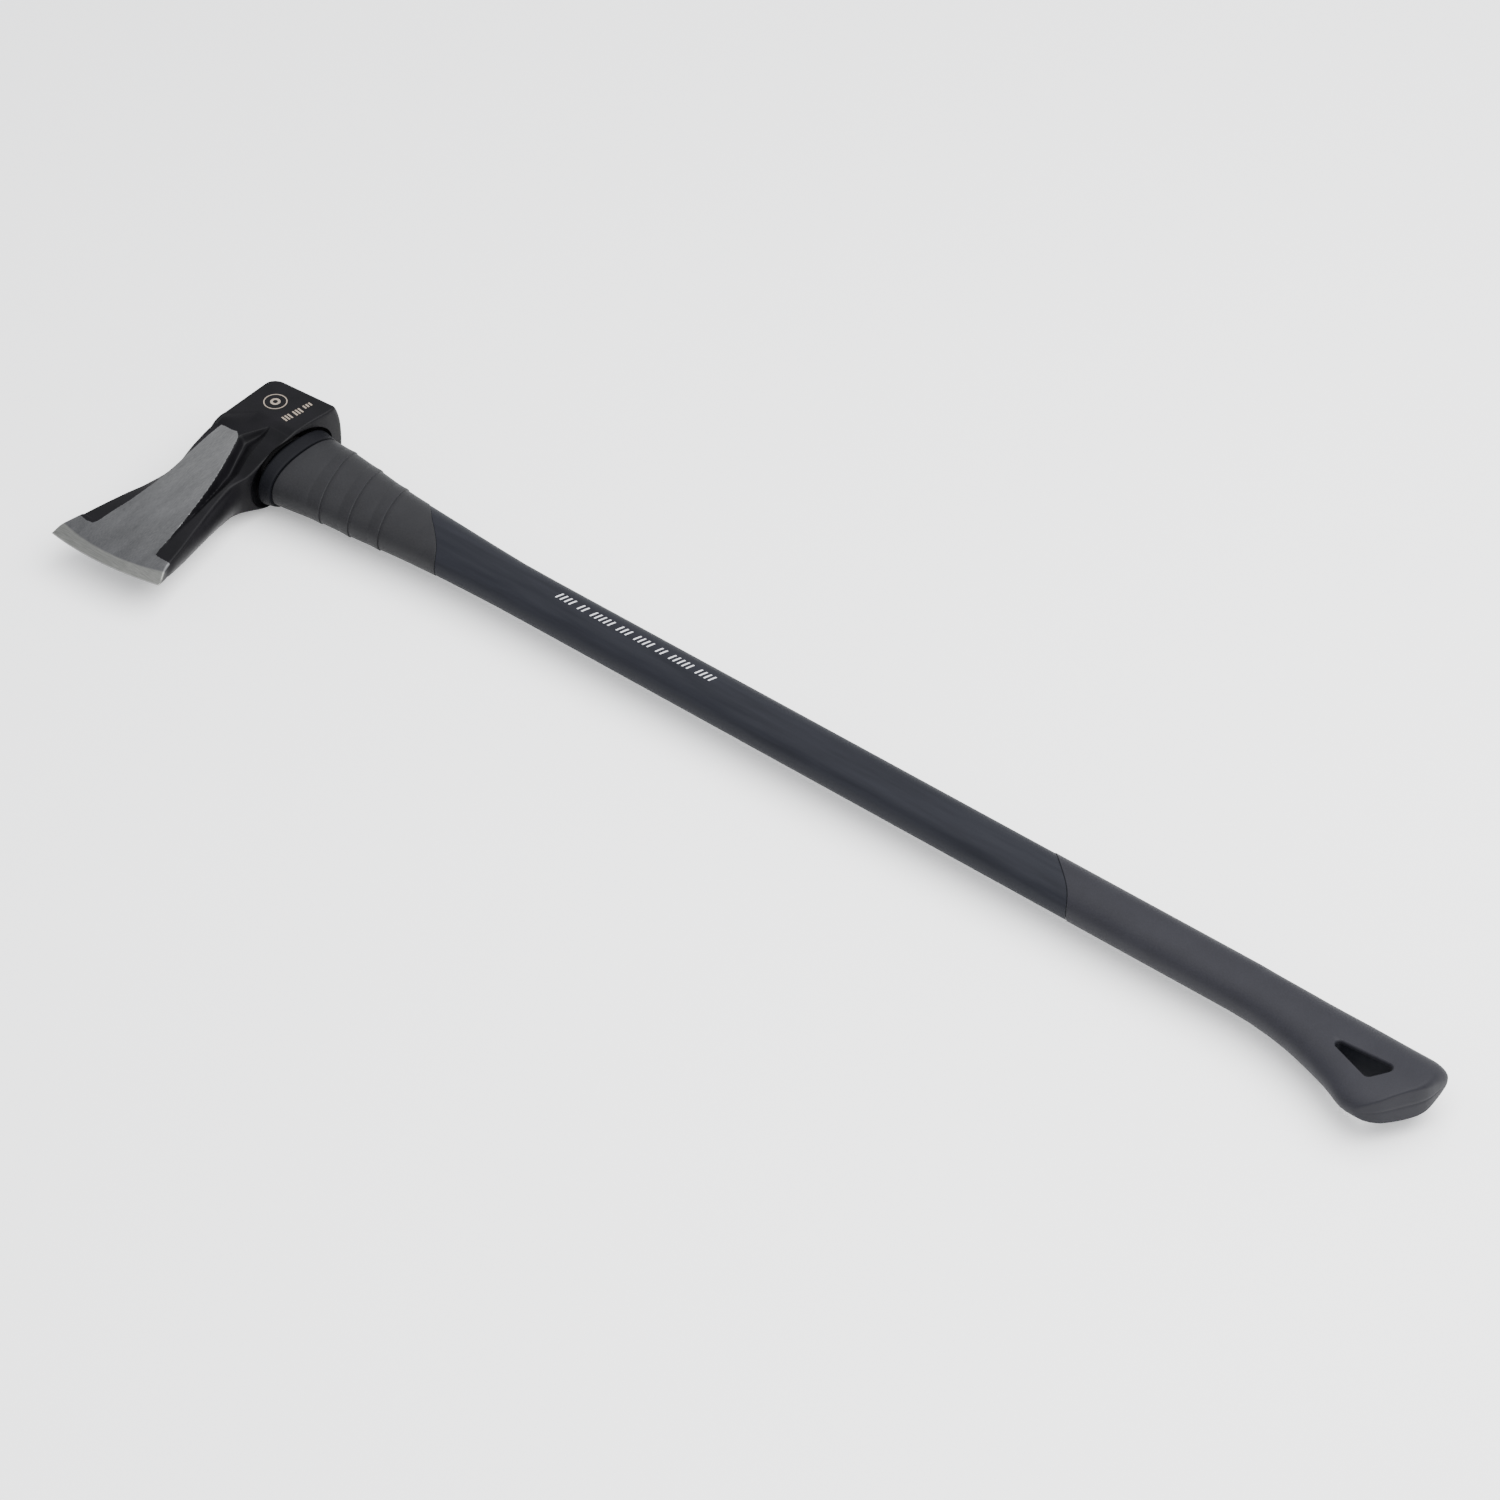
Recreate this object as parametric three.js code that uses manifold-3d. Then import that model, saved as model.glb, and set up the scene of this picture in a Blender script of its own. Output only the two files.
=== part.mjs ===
// Splitting maul: a forged steel head on a fibreglass-cored handle with two overmoulded rubber sleeves.
// Millimetres. +X runs along the handle from head to butt, the cutting edge faces -Y, the poll faces +Y,
// and the maul lies on its cheek with +Z up. The handle's centre line is y = 0 and the mid-plane z = 0
// until the last lines set the whole maul down on the ground plane.
import * as THREE from 'three';
import { mergeVertices } from 'three/addons/utils/BufferGeometryUtils.js';
import Module from 'manifold-3d';

const wasm = await Module();
wasm.setup();

// ---------------------------------------------------------------- driving dimensions
const GAP = 0.3; // assembly clearance between neighbouring pieces

const HEAD_HALF_THICKNESS = 23.6;
const TOE = new THREE.Vector2(-43.8, -139.5);
const HEEL = new THREE.Vector2(40, -134);
const EDGE_BULGE = 4.3;
const BEVEL_WIDTH = 7.6;
const BEVEL_HALF_THICKNESS = 2.72;
const WEDGE_TOP_DISTANCE = 126.2;
const WEDGE_TOP_HALF_THICKNESS = 19.4;
const WEDGE_POWER = 0.7;
const BELLY_FADE = 70; // distance from the edge over which the cheeks' crowning dies out
const POLL_Y = 42; // top of the crowned poll
const POLL_CROWN = 4.8; // how far the poll falls back from its middle to the cheeks
const POLL_POWER = 2.6;
const POLL_TILT = 0.064;
const BOSS_FACE_X = 23.4;

const EYE = { halfWidth: 19.5, halfDepth: 13 };
const TONGUE = { halfWidth: 17.5, halfDepth: 11 };
const TONGUE_START_X = -23.4;
const SEAL_START_X = 14;
const DISH_FLOOR_X = 17.8;
const DISH_FLOOR = { halfWidth: 21, halfDepth: 14.5 };
const DISH_MOUTH = { halfWidth: 36.5, halfDepth: 22.4 };

const SHOULDER_X = 33.8;
const SKIN = 2.6; // rubber thickness over the moulded handle
const PROUD = 0.5; // how far the sleeves stand above the bare shaft
const SHAFT = { halfWidth: 16.9, halfDepth: 11.7 }; // outer form under the sleeves' level
const WRAP_STEP = 0.8;
const WRAP_TILT = 0.32;
const WRAP_LINES_X = [61, 83.5, 106.5];
const CORE = { halfWidth: 10.5, halfDepth: 6.5 };
const CORE_END_X = 800;
const BUTT_X = 869.2;
const SECTION_POWER = 2.3; // superellipse exponent of the handle's cross-sections
const RING_POINTS = 56;

// ---------------------------------------------------------------- solids
function toManifold(geometry) {
  const bare = geometry.clone();
  bare.deleteAttribute('normal');
  bare.deleteAttribute('uv');
  const merged = mergeVertices(bare, 1e-5);
  return new wasm.Manifold(new wasm.Mesh({
    numProp: 3,
    vertProperties: new Float32Array(merged.attributes.position.array),
    triVerts: new Uint32Array(merged.index.array),
  }));
}

function toGeometry(solid) {
  const mesh = solid.getMesh();
  const geometry = new THREE.BufferGeometry();
  geometry.setAttribute('position', new THREE.BufferAttribute(new Float32Array(mesh.vertProperties), 3));
  geometry.setIndex(new THREE.BufferAttribute(new Uint32Array(mesh.triVerts), 1));
  const flat = geometry.toNonIndexed();
  flat.computeVertexNormals();
  return flat;
}

function signedVolume(points, triangles) {
  let total = 0;
  for (let i = 0; i < triangles.length; i += 3) {
    const [a, b, c] = [points[triangles[i]], points[triangles[i + 1]], points[triangles[i + 2]]];
    total += a.dot(b.clone().cross(c)) / 6;
  }
  return total;
}

// A closed solid through a stack of rings with equal point counts; `flatten` drops a point onto the cap plane.
function loft(rings, flatten) {
  const count = rings[0].length;
  const points = rings.flat();
  const triangles = [];
  for (let level = 0; level + 1 < rings.length; level += 1) {
    for (let i = 0; i < count; i += 1) {
      const a = level * count + i;
      const b = level * count + ((i + 1) % count);
      triangles.push(a, b, b + count, a, b + count, a + count);
    }
  }
  const firstCap = THREE.ShapeUtils.triangulateShape(rings[0].map(flatten), []);
  const lastCap = THREE.ShapeUtils.triangulateShape(rings[rings.length - 1].map(flatten), []);
  const lastStart = (rings.length - 1) * count;
  const ringTurn = Math.sign(THREE.ShapeUtils.area(rings[0].map(flatten)));
  const capTurn = ([a, b, c], ring) => Math.sign(THREE.ShapeUtils.area([a, b, c].map((k) => flatten(ring[k]))));
  for (const face of firstCap) {
    const [a, b, c] = face;
    const sameTurn = capTurn(face, rings[0]) === ringTurn;
    triangles.push(...(sameTurn ? [a, c, b] : [a, b, c]));
  }
  for (const face of lastCap) {
    const [a, b, c] = face;
    const sameTurn = capTurn(face, rings[rings.length - 1]) === ringTurn;
    triangles.push(...(sameTurn ? [a, b, c] : [a, c, b]).map((k) => k + lastStart));
  }
  if (signedVolume(points, triangles) < 0) {
    triangles.reverse();
  }
  const geometry = new THREE.BufferGeometry();
  geometry.setFromPoints(points);
  geometry.setIndex(triangles);
  return toManifold(geometry);
}

const ontoYZ = (p) => new THREE.Vector2(p.y, p.z);
const ontoXY = (p) => new THREE.Vector2(p.x, p.y);

// A plan outline (x, y) extruded right through the maul's thickness.
function planPrism(outline, halfHeight = 40) {
  const shape = new THREE.Shape(outline.map(([x, y]) => new THREE.Vector2(x, y)));
  const geometry = new THREE.ExtrudeGeometry(shape, { depth: 2 * halfHeight, bevelEnabled: false });
  geometry.translate(0, 0, -halfHeight);
  return toManifold(geometry);
}

// A side profile given by its upper half (distance, height), mirrored below and swept across the head.
function profileWedge(upper, halfSpan) {
  const lower = upper.map(([along, height]) => [along, -height]).reverse();
  const shape = new THREE.Shape([...upper, ...lower].map(([along, height]) => new THREE.Vector2(along, height)));
  const geometry = new THREE.ExtrudeGeometry(shape, { depth: 2 * halfSpan, bevelEnabled: false });
  geometry.translate(0, 0, -halfSpan);
  const alongY = new THREE.Vector3(0, 1, 0);
  const alongZ = new THREE.Vector3(0, 0, 1);
  const alongX = new THREE.Vector3(1, 0, 0);
  geometry.applyMatrix4(new THREE.Matrix4().makeBasis(alongY, alongZ, alongX));
  return toManifold(geometry);
}

// One superellipse cross-section of the handle; `slant(y)` moves each point along the handle.
function section(x, halfWidth, halfDepth, centreY = 0, slant = () => 0) {
  return Array.from({ length: RING_POINTS }, (_, i) => {
    const angle = (2 * Math.PI * i) / RING_POINTS;
    const c = Math.cos(angle);
    const s = Math.sin(angle);
    const y = centreY + halfWidth * Math.sign(c) * Math.abs(c) ** (2 / SECTION_POWER);
    const z = halfDepth * Math.sign(s) * Math.abs(s) ** (2 / SECTION_POWER);
    return new THREE.Vector3(x + slant(y), y, z);
  });
}

function ovalBar(startX, endX, size, extra = 0) {
  const rings = [startX, endX].map((x) => section(x, size.halfWidth + extra, size.halfDepth + extra));
  return loft(rings, ontoYZ);
}

// ---------------------------------------------------------------- head
const chord = HEEL.clone().sub(TOE);
const edgeTilt = Math.atan2(chord.y, chord.x);
const bladeUp = new THREE.Vector2(-Math.sin(edgeTilt), Math.cos(edgeTilt));
const edgeMiddle = TOE.clone().lerp(HEEL, 0.5).addScaledVector(bladeUp, -EDGE_BULGE);
const edgeRadius = (chord.length() ** 2 / 4 + EDGE_BULGE ** 2) / (2 * EDGE_BULGE);
const edgeCentre = edgeMiddle.clone().addScaledVector(bladeUp, edgeRadius);

// Half thickness of the ground wedge, a convex taper measured from the cutting edge.
function wedgeHalfThickness(distance) {
  return WEDGE_TOP_HALF_THICKNESS * (distance / WEDGE_TOP_DISTANCE) ** WEDGE_POWER;
}

// Half thickness of the painted forging: flat cheeks, a steep shoulder below the eye, then the slim ribs.
const FORGED_PROFILE = [
  [-141, 0.3],
  [-117, 5],
  [-50, 11.2],
  [-37.5, 13.1],
  [-24.5, 18.3],
  [5, HEAD_HALF_THICKNESS],
  [60, HEAD_HALF_THICKNESS],
];

// Each flank between boss and bit: y, distance from x = 0 at the mid-plane, and how far the crest lies inside.
const HEEL_FLANK = [
  [-130.4, 39.4, 0],
  [-123, 36, 0],
  [-117, 35.6, 0.8],
  [-104, 33, 1],
  [-90, 30.6, 2.1],
  [-76, 28.4, 3.6],
  [-63, 26.2, 4.2],
  [-50, 24.3, 4.4],
  [-43.5, 23.9, 3.2],
  [-37.5, 23.6, 0.5],
  [-12, 23.7, 0],
  [17, 24.3, 0],
  [24.5, 25.2, 0],
  [31, 26, 0],
];
const TOE_FLANK = [
  [-121, 38.9, 0.7],
  [-110.7, 36.4, 1.6],
  [-95.4, 32.3, 2.5],
  [-85, 28.7, 3],
  [-76, 26.4, 3.5],
  [-66, 24.7, 4],
  [-58.6, 24.3, 4],
  [-50, 24.9, 4],
  [-43, 24.6, 2.5],
  [-37, 23.9, 0.6],
  [-28, 24.6, 0],
  [-16, 25, 0],
  [-9, 23.9, 0],
  [15, 23.9, 0],
];

function interpolate(table, at, column) {
  const upper = table.findIndex(([key]) => key >= at);
  if (upper <= 0) {
    return upper === 0 ? table[0][column] : table[table.length - 1][column];
  }
  const [low, high] = [table[upper - 1], table[upper]];
  const t = (at - low[0]) / (high[0] - low[0]);
  return low[column] + t * (high[column] - low[column]);
}

function crestInset(y, depthOfCrest, z) {
  const height = interpolate(FORGED_PROFILE, y, 1);
  return depthOfCrest * Math.min(Math.abs(z) / height, 1.1) ** 2;
}

function cornerArc(centreX, centreY, radius, fromDegrees, toDegrees, z) {
  const steps = 4;
  return Array.from({ length: steps + 1 }, (_, i) => {
    const angle = THREE.MathUtils.degToRad(fromDegrees + ((toDegrees - fromDegrees) * i) / steps);
    return new THREE.Vector3(centreX + radius * Math.cos(angle), centreY + radius * Math.sin(angle), z);
  });
}

// The head's plan outline at one height: below the edge, up the heel side, round the poll, down the toe side.
function headOutline(z) {
  const beyondEdge = 8;
  const heelRadius = 3;
  const toeRadius = 8;
  const toeFaceX = -23.9;
  const heelFaceX = HEEL_FLANK[HEEL_FLANK.length - 1][1];
  const rim = POLL_Y - POLL_CROWN * (Math.abs(z) / HEAD_HALF_THICKNESS) ** POLL_POWER;
  const heelSide = HEEL_FLANK.map(([y, x, inset]) => new THREE.Vector3(x - crestInset(y, inset, z), y, z));
  const toeSide = TOE_FLANK.map(([y, x, inset]) => new THREE.Vector3(crestInset(y, inset, z) - x, y, z)).reverse();
  const heelCorner = rim + POLL_TILT * heelFaceX;
  const toeCorner = rim + POLL_TILT * toeFaceX;
  return [
    new THREE.Vector3(TOE.x - 1.2, TOE.y - beyondEdge, z),
    new THREE.Vector3(HEEL.x + 1.5, HEEL.y - beyondEdge, z),
    new THREE.Vector3(HEEL.x, HEEL.y, z),
    ...heelSide,
    ...cornerArc(heelFaceX - heelRadius, heelCorner - heelRadius, heelRadius, 0, 90, z),
    ...cornerArc(toeFaceX + toeRadius, toeCorner - toeRadius, toeRadius, 90, 180, z),
    ...toeSide,
    new THREE.Vector3(TOE.x, TOE.y, z),
  ];
}

function headBlank() {
  const upperLevels = [6, 11, 15, 18.5, 21.5, HEAD_HALF_THICKNESS];
  const lowerLevels = upperLevels.map((z) => -z).reverse();
  return loft([...lowerLevels, 0, ...upperLevels].map(headOutline), ontoXY);
}

// The bright ground face: a waisted strip on each cheek that opens out to the full width of the bit.
const GROUND_FACE = [
  [-19.6, -15.5],
  [-19.5, -30],
  [-18.7, -42.2],
  [-18.3, -60],
  [-17.9, -71.3],
  [-19.8, -83.5],
  [-20.5, -95.6],
  [-22.9, -107.1],
  [-24.9, -118],
  [-27, -120.6],
  [-31.5, -121.7],
  [-60, -120.6],
  [-60, -170],
  [60, -170],
  [60, -118.6],
  [25, -118.9],
  [23.1, -118],
  [22, -113.6],
  [20.2, -97.4],
  [16.7, -79.9],
  [12.4, -62.5],
  [7.1, -45.4],
  [1.7, -30.3],
  [-4.3, -15.6],
];

// The ground faces are crowned: towards toe and heel they fall back with the curve of the cutting edge.
function groundWedge() {
  const steps = 16;
  const halfSpan = 48;
  const stations = 12;
  const rings = Array.from({ length: stations + 1 }, (_, k) => {
    const across = halfSpan * ((2 * k) / stations - 1);
    const sagitta = edgeRadius - Math.sqrt(edgeRadius ** 2 - across ** 2);
    const upper = Array.from({ length: steps + 1 }, (__, i) => {
      const distance = WEDGE_TOP_DISTANCE * (i / steps) ** 1.6;
      const lag = sagitta * Math.max(1 - distance / BELLY_FADE, 0);
      const foot = edgeMiddle.clone().addScaledVector(bladeUp, distance);
      const height = Math.max(wedgeHalfThickness(Math.max(distance - lag, 0)), 0.25);
      return new THREE.Vector3(foot.x + across * bladeUp.y, foot.y - across * bladeUp.x, height);
    });
    const lower = upper.map(({ x, y, z }) => new THREE.Vector3(x, y, -z)).reverse();
    return [...upper, ...lower];
  });
  const alongBlade = (p) => new THREE.Vector2(p.x * bladeUp.x + p.y * bladeUp.y, p.z);
  return loft(rings, alongBlade).intersect(planPrism(GROUND_FACE));
}

// The recess between ground face and rib on the handle side, deepest under the eye.
const GROOVE = [
  [-4.3, -15.6],
  [1.7, -30.3],
  [7.1, -45.4],
  [12.4, -62.5],
  [16.7, -79.9],
  [18.2, -87],
  [18.9, -82],
  [17, -64.5],
  [16.1, -52],
  [15.2, -39.4],
  [12.8, -29.5],
  [10.8, -13],
  [8.3, -2.5],
  [6.5, -1],
];

function groovePair() {
  const floorHeight = (y) => 12.8 + 0.045 * y;
  const ring = (heightOf) => GROOVE.map(([x, y]) => new THREE.Vector3(x, y, heightOf(y)));
  const upper = loft([ring(floorHeight), ring(() => 40)], ontoXY);
  const lower = loft([ring(() => -40), ring((y) => -floorHeight(y))], ontoXY);
  return upper.add(lower);
}

// Everything outside the two bevels that meet in the curved cutting edge.
function bevelWaste() {
  const slope = BEVEL_HALF_THICKNESS / BEVEL_WIDTH;
  const reach = 30;
  const outside = 20;
  const profile = [
    [0, 0],
    [-reach, reach * slope],
    [outside, reach * slope],
    [outside, -reach * slope],
    [-reach, -reach * slope],
  ];
  const halfAngle = 0.32;
  const steps = 24;
  const rings = Array.from({ length: steps + 1 }, (_, i) => {
    const angle = edgeTilt - Math.PI / 2 + halfAngle * ((2 * i) / steps - 1);
    return profile.map(([radial, height]) => {
      const radius = edgeRadius + radial;
      const x = edgeCentre.x + radius * Math.cos(angle);
      const y = edgeCentre.y + radius * Math.sin(angle);
      return new THREE.Vector3(x, y, height);
    });
  });
  const alongChord = (p) => new THREE.Vector2(p.x * bladeUp.x + p.y * bladeUp.y, p.z);
  return loft(rings, alongChord);
}

function headForging() {
  const forged = profileWedge(FORGED_PROFILE, 90);
  const eye = ovalBar(-40, 40, EYE);
  const dishRings = [
    section(DISH_FLOOR_X, DISH_FLOOR.halfWidth, DISH_FLOOR.halfDepth),
    section(BOSS_FACE_X, DISH_MOUTH.halfWidth, DISH_MOUTH.halfDepth),
    section(BOSS_FACE_X + 6, DISH_MOUTH.halfWidth, DISH_MOUTH.halfDepth),
  ];
  return headBlank()
    .intersect(forged.add(groundWedge()))
    .subtract(groovePair())
    .subtract(bevelWaste())
    .subtract(eye)
    .subtract(loft(dishRings, ontoYZ));
}

// ---------------------------------------------------------------- handle
// Outer form of the sleeves and shaft: x, half width, half depth, centre y.
const HANDLE_FORM = [
  [SHOULDER_X, 30.5, 16.5, -0.2],
  [48, 29, 15.6, 0.9],
  [65, 26.7, 14.5, 1.7],
  [80, 24.9, 13.8, 1.6],
  [95, 23.3, 13.4, 0.8],
  [110, 21.8, 13, 0.7],
  [130, 20.7, 12.6, 0.9],
  [155, 19.2, 12.2, 0.7],
  [180, 17.9, 11.9, 0.3],
  [205, SHAFT.halfWidth, SHAFT.halfDepth, 0],
  [744, SHAFT.halfWidth, SHAFT.halfDepth, 0],
  [758.7, 17, 11.7, -0.8],
  [773.4, 18.3, 11.6, -1.9],
  [788.2, 19.9, 11.5, -3.7],
  [802.9, 22.4, 11.5, -5.9],
  [817.7, 25, 11.4, -8.1],
  [832.5, 27.6, 11.4, -10.8],
  [843, 29, 11.4, -12.2],
  [880, 29, 11.4, -12.2],
];

function handleSection(x, grow = 0, slant = () => 0) {
  const [halfWidth, halfDepth, centreY] = [1, 2, 3].map((column) => interpolate(HANDLE_FORM, x, column));
  return section(x, halfWidth + grow, halfDepth + grow, centreY, slant);
}

function handleBody(fromX, toX, grow) {
  const stations = HANDLE_FORM.map(([x]) => x).filter((x) => x > fromX && x < toX);
  return loft([fromX, ...stations, toX].map((x) => handleSection(x, grow)), ontoYZ);
}

// Both sleeve ends follow the same swept curve, further towards the butt on the blade side of the handle.
const SLEEVE_SWEEP = [
  [30, -17],
  [18, -7.5],
  [11, 0],
  [6.6, 4.6],
  [1.6, 10.6],
  [-4, 17.2],
  [-9, 22.4],
  [-13.5, 26],
  [-17.5, 28.4],
  [-30, 31],
];

function sweepEdge(atX, shift) {
  return SLEEVE_SWEEP.map(([y, x]) => [atX + x + shift, y]);
}

const GUARD_END_X = 127.6;
const GRIP_START_X = 601;

function guardZone() {
  const edge = sweepEdge(GUARD_END_X, 0);
  return planPrism([[SHOULDER_X, -60], [SHOULDER_X, 60], [edge[0][0], 60], ...edge, [edge[edge.length - 1][0], -60]]);
}

function gripZone() {
  const edge = sweepEdge(GRIP_START_X, 0).reverse();
  return planPrism([[edge[0][0], -60], ...edge, [edge[edge.length - 1][0], 60], [900, 60], [900, -60]].reverse());
}

function bareZone() {
  const near = sweepEdge(GUARD_END_X, GAP).reverse();
  const far = sweepEdge(GRIP_START_X, -GAP);
  return planPrism([...near, ...far]);
}

// The butt's end in plan: a slanted face that meets the back of the grip in a round corner (set back from BUTT_X, y).
const BUTT_END = [
  [46, -60],
  [30.2, -44],
  [26.2, -41.5],
  [23, -39.4],
  [18.4, -35.5],
  [15, -31.8],
  [8.2, -20.7],
  [3.2, -13],
  [1, -7],
  [0.2, 0],
  [0, 9],
  [0.9, 11.8],
  [3.3, 14.7],
  [6.6, 16.7],
  [10, 18],
  [30, 60],
];

function buttZone(inset) {
  const end = BUTT_END.map(([back, y]) => [BUTT_X - back - inset * 1.15, y]);
  return planPrism([[0, -60], ...end, [0, 60]]);
}

// Rounded-triangle hanging hole.
const HOLE_CORNERS = [
  { x: 812.6, y: -11.8, radius: 2.6 },
  { x: 836.8, y: -19.1, radius: 3.4 },
  { x: 842.2, y: -10.4, radius: 3.2 },
];

function hangHole(shrink) {
  const outline = HOLE_CORNERS.flatMap(({ x, y, radius }, i) => {
    const before = HOLE_CORNERS[(i + 2) % 3];
    const after = HOLE_CORNERS[(i + 1) % 3];
    const leave = (from, to) => Math.atan2(to.y - from.y, to.x - from.x) - Math.PI / 2;
    const start = leave(before, { x, y });
    let end = leave({ x, y }, after);
    if (end < start) {
      end += 2 * Math.PI;
    }
    const steps = 6;
    return Array.from({ length: steps + 1 }, (_, k) => {
      const angle = start + ((end - start) * k) / steps;
      return [x + (radius - shrink) * Math.cos(angle), y + (radius - shrink) * Math.sin(angle)];
    });
  });
  return planPrism(outline);
}

function shaftJacket() {
  const tongue = ovalBar(TONGUE_START_X, SHOULDER_X + 1, TONGUE);
  const covered = handleBody(SHOULDER_X, BUTT_X + 2, -SKIN - GAP).intersect(buttZone(SKIN + GAP));
  const bare = handleBody(100, 700, -PROUD).intersect(bareZone());
  const bore = ovalBar(TONGUE_START_X - 5, CORE_END_X + GAP, CORE, GAP);
  return tongue.add(covered).add(bare).subtract(bore).subtract(hangHole(0.8));
}

function neckGuard() {
  const slantAt = (x) => {
    const strength = THREE.MathUtils.smoothstep(x, SHOULDER_X, WRAP_LINES_X[0]);
    return (y) => -WRAP_TILT * strength * y;
  };
  const stations = [{ x: SHOULDER_X, grow: 0 }, { x: 46, grow: 0 }];
  for (const x of WRAP_LINES_X) {
    stations.push({ x: x - 8, grow: 0.1 }, { x: x - 0.4, grow: WRAP_STEP }, { x: x + 0.4, grow: 0 });
  }
  stations.push({ x: 125, grow: 0 }, { x: 150, grow: 0 }, { x: 185, grow: 0 });
  const outer = loft(stations.map(({ x, grow }) => handleSection(x, grow, slantAt(x))), ontoYZ);
  const hollow = handleBody(SHOULDER_X - 5, 230, -SKIN);
  return outer.intersect(guardZone()).subtract(hollow);
}

function gripSleeve() {
  const outer = handleBody(560, BUTT_X + 6, 0).intersect(buttZone(0)).intersect(gripZone());
  const hollow = handleBody(540, BUTT_X + 2, -SKIN).intersect(buttZone(SKIN));
  return outer.subtract(hollow).subtract(hangHole(0));
}

function shoulderCollar() {
  const rings = [
    [19.5, 21.5, 14.2],
    [22.5, 25.5, 16],
    [24.6, 33, 18.6],
    [25.6, 34.4, 19.4],
    [27.2, 34.8, 19.6],
    [31.6, 34, 18.5],
    [33, 33.2, 17.8],
    [SHOULDER_X - GAP, 32.4, 17],
  ];
  const outer = loft(rings.map(([x, halfWidth, halfDepth]) => section(x, halfWidth, halfDepth)), ontoYZ);
  return outer.subtract(ovalBar(0, 50, TONGUE, GAP));
}

function eyeRing(startX, endX) {
  return ovalBar(startX, endX, EYE, -GAP).subtract(ovalBar(startX - 1, endX + 1, TONGUE, GAP));
}

// ---------------------------------------------------------------- assembly
function piece(name, solid, color, roughness, metalness) {
  const material = new THREE.MeshStandardMaterial({ color, roughness, metalness });
  const mesh = new THREE.Mesh(toGeometry(solid), material);
  mesh.name = name;
  return mesh;
}

const head = new THREE.Group();
head.add(piece('head_forging', headForging(), 0x26262a, 0.45, 0.6));
head.add(piece('eye_epoxy', eyeRing(TONGUE_START_X, SEAL_START_X), 0x3a342b, 0.4, 0));
head.add(piece('eye_seal', eyeRing(SEAL_START_X + GAP, DISH_FLOOR_X - GAP), 0x1c1c1c, 0.9, 0));

const handle = new THREE.Group();
const core = ovalBar(TONGUE_START_X, CORE_END_X, CORE);
handle.add(piece('fibreglass_core', core, 0xcfc59a, 0.55, 0));
handle.add(piece('shaft_jacket', shaftJacket(), 0x2f3034, 0.42, 0));
handle.add(piece('shoulder_collar', shoulderCollar(), 0x2b2b2e, 0.6, 0));
handle.add(piece('neck_guard', neckGuard(), 0x474749, 0.75, 0));
handle.add(piece('grip_sleeve', gripSleeve(), 0x474749, 0.75, 0));

const maul = new THREE.Group();
maul.name = 'splitting_maul';
maul.add(head, handle);

// Set the maul down: the middle of its length and width over the origin, the lower cheek on z = 0.
const box = new THREE.Box3().setFromObject(maul);
const middle = box.getCenter(new THREE.Vector3());
head.position.set(-middle.x, -middle.y, -box.min.z);
handle.position.copy(head.position);

export default maul;
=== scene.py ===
"""Splitting maul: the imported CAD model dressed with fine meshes, procedural materials, light and a camera.

Lengths in the tables are millimetres in the maul's own plan: x runs from the head to the butt, y from the
cutting edge (negative) to the poll (positive), z up through the thickness. The handle's axis is at y = 0
and z = 0.
"""

import math

import bmesh
import bpy
import numpy as np
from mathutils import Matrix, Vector


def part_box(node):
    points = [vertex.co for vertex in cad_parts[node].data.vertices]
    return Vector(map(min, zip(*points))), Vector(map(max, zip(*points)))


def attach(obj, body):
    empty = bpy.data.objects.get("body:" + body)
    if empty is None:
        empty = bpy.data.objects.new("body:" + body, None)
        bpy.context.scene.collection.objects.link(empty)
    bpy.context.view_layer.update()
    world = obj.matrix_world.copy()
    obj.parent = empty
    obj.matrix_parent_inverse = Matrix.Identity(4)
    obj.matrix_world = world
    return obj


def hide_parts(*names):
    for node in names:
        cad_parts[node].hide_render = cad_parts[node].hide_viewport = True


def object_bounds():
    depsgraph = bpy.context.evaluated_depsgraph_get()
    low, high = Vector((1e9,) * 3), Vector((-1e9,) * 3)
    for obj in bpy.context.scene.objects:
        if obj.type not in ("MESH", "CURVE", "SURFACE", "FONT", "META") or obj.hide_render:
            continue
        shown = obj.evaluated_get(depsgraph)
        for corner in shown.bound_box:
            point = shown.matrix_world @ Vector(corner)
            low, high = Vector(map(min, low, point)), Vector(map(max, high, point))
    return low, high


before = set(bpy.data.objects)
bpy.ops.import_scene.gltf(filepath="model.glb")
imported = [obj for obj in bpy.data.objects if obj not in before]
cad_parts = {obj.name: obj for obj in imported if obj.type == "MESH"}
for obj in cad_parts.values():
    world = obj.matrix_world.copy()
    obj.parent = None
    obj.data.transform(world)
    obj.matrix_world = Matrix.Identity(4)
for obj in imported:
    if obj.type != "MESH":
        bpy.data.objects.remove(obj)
cad_low, cad_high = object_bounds()

MM = 0.001
GAP = 0.3  # between neighbouring pieces
TINY = 1e-6
CORE_START_X = -23.4  # where the handle's core begins, in the head's crown
core_low, core_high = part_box("fibreglass_core")
ORIGIN = Vector((
    core_low.x - CORE_START_X * MM,
    (core_low.y + core_high.y) / 2,
    (core_low.z + core_high.z) / 2,
))


# ---------------------------------------------------------------- meshes
def place(points):
    """Plan millimetres to metres in the shared frame."""
    return np.asarray(points, float) * MM + np.array(ORIGIN)


def new_object(name, points, faces, smooth_angle=35):
    mesh = bpy.data.meshes.new(name)
    mesh.from_pydata(place(points).tolist(), [], [list(map(int, face)) for face in faces])
    mesh.update()
    piece = bpy.data.objects.new(name, mesh)
    bpy.context.scene.collection.objects.link(piece)
    weld(mesh)
    smooth(mesh, smooth_angle)
    return piece


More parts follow.
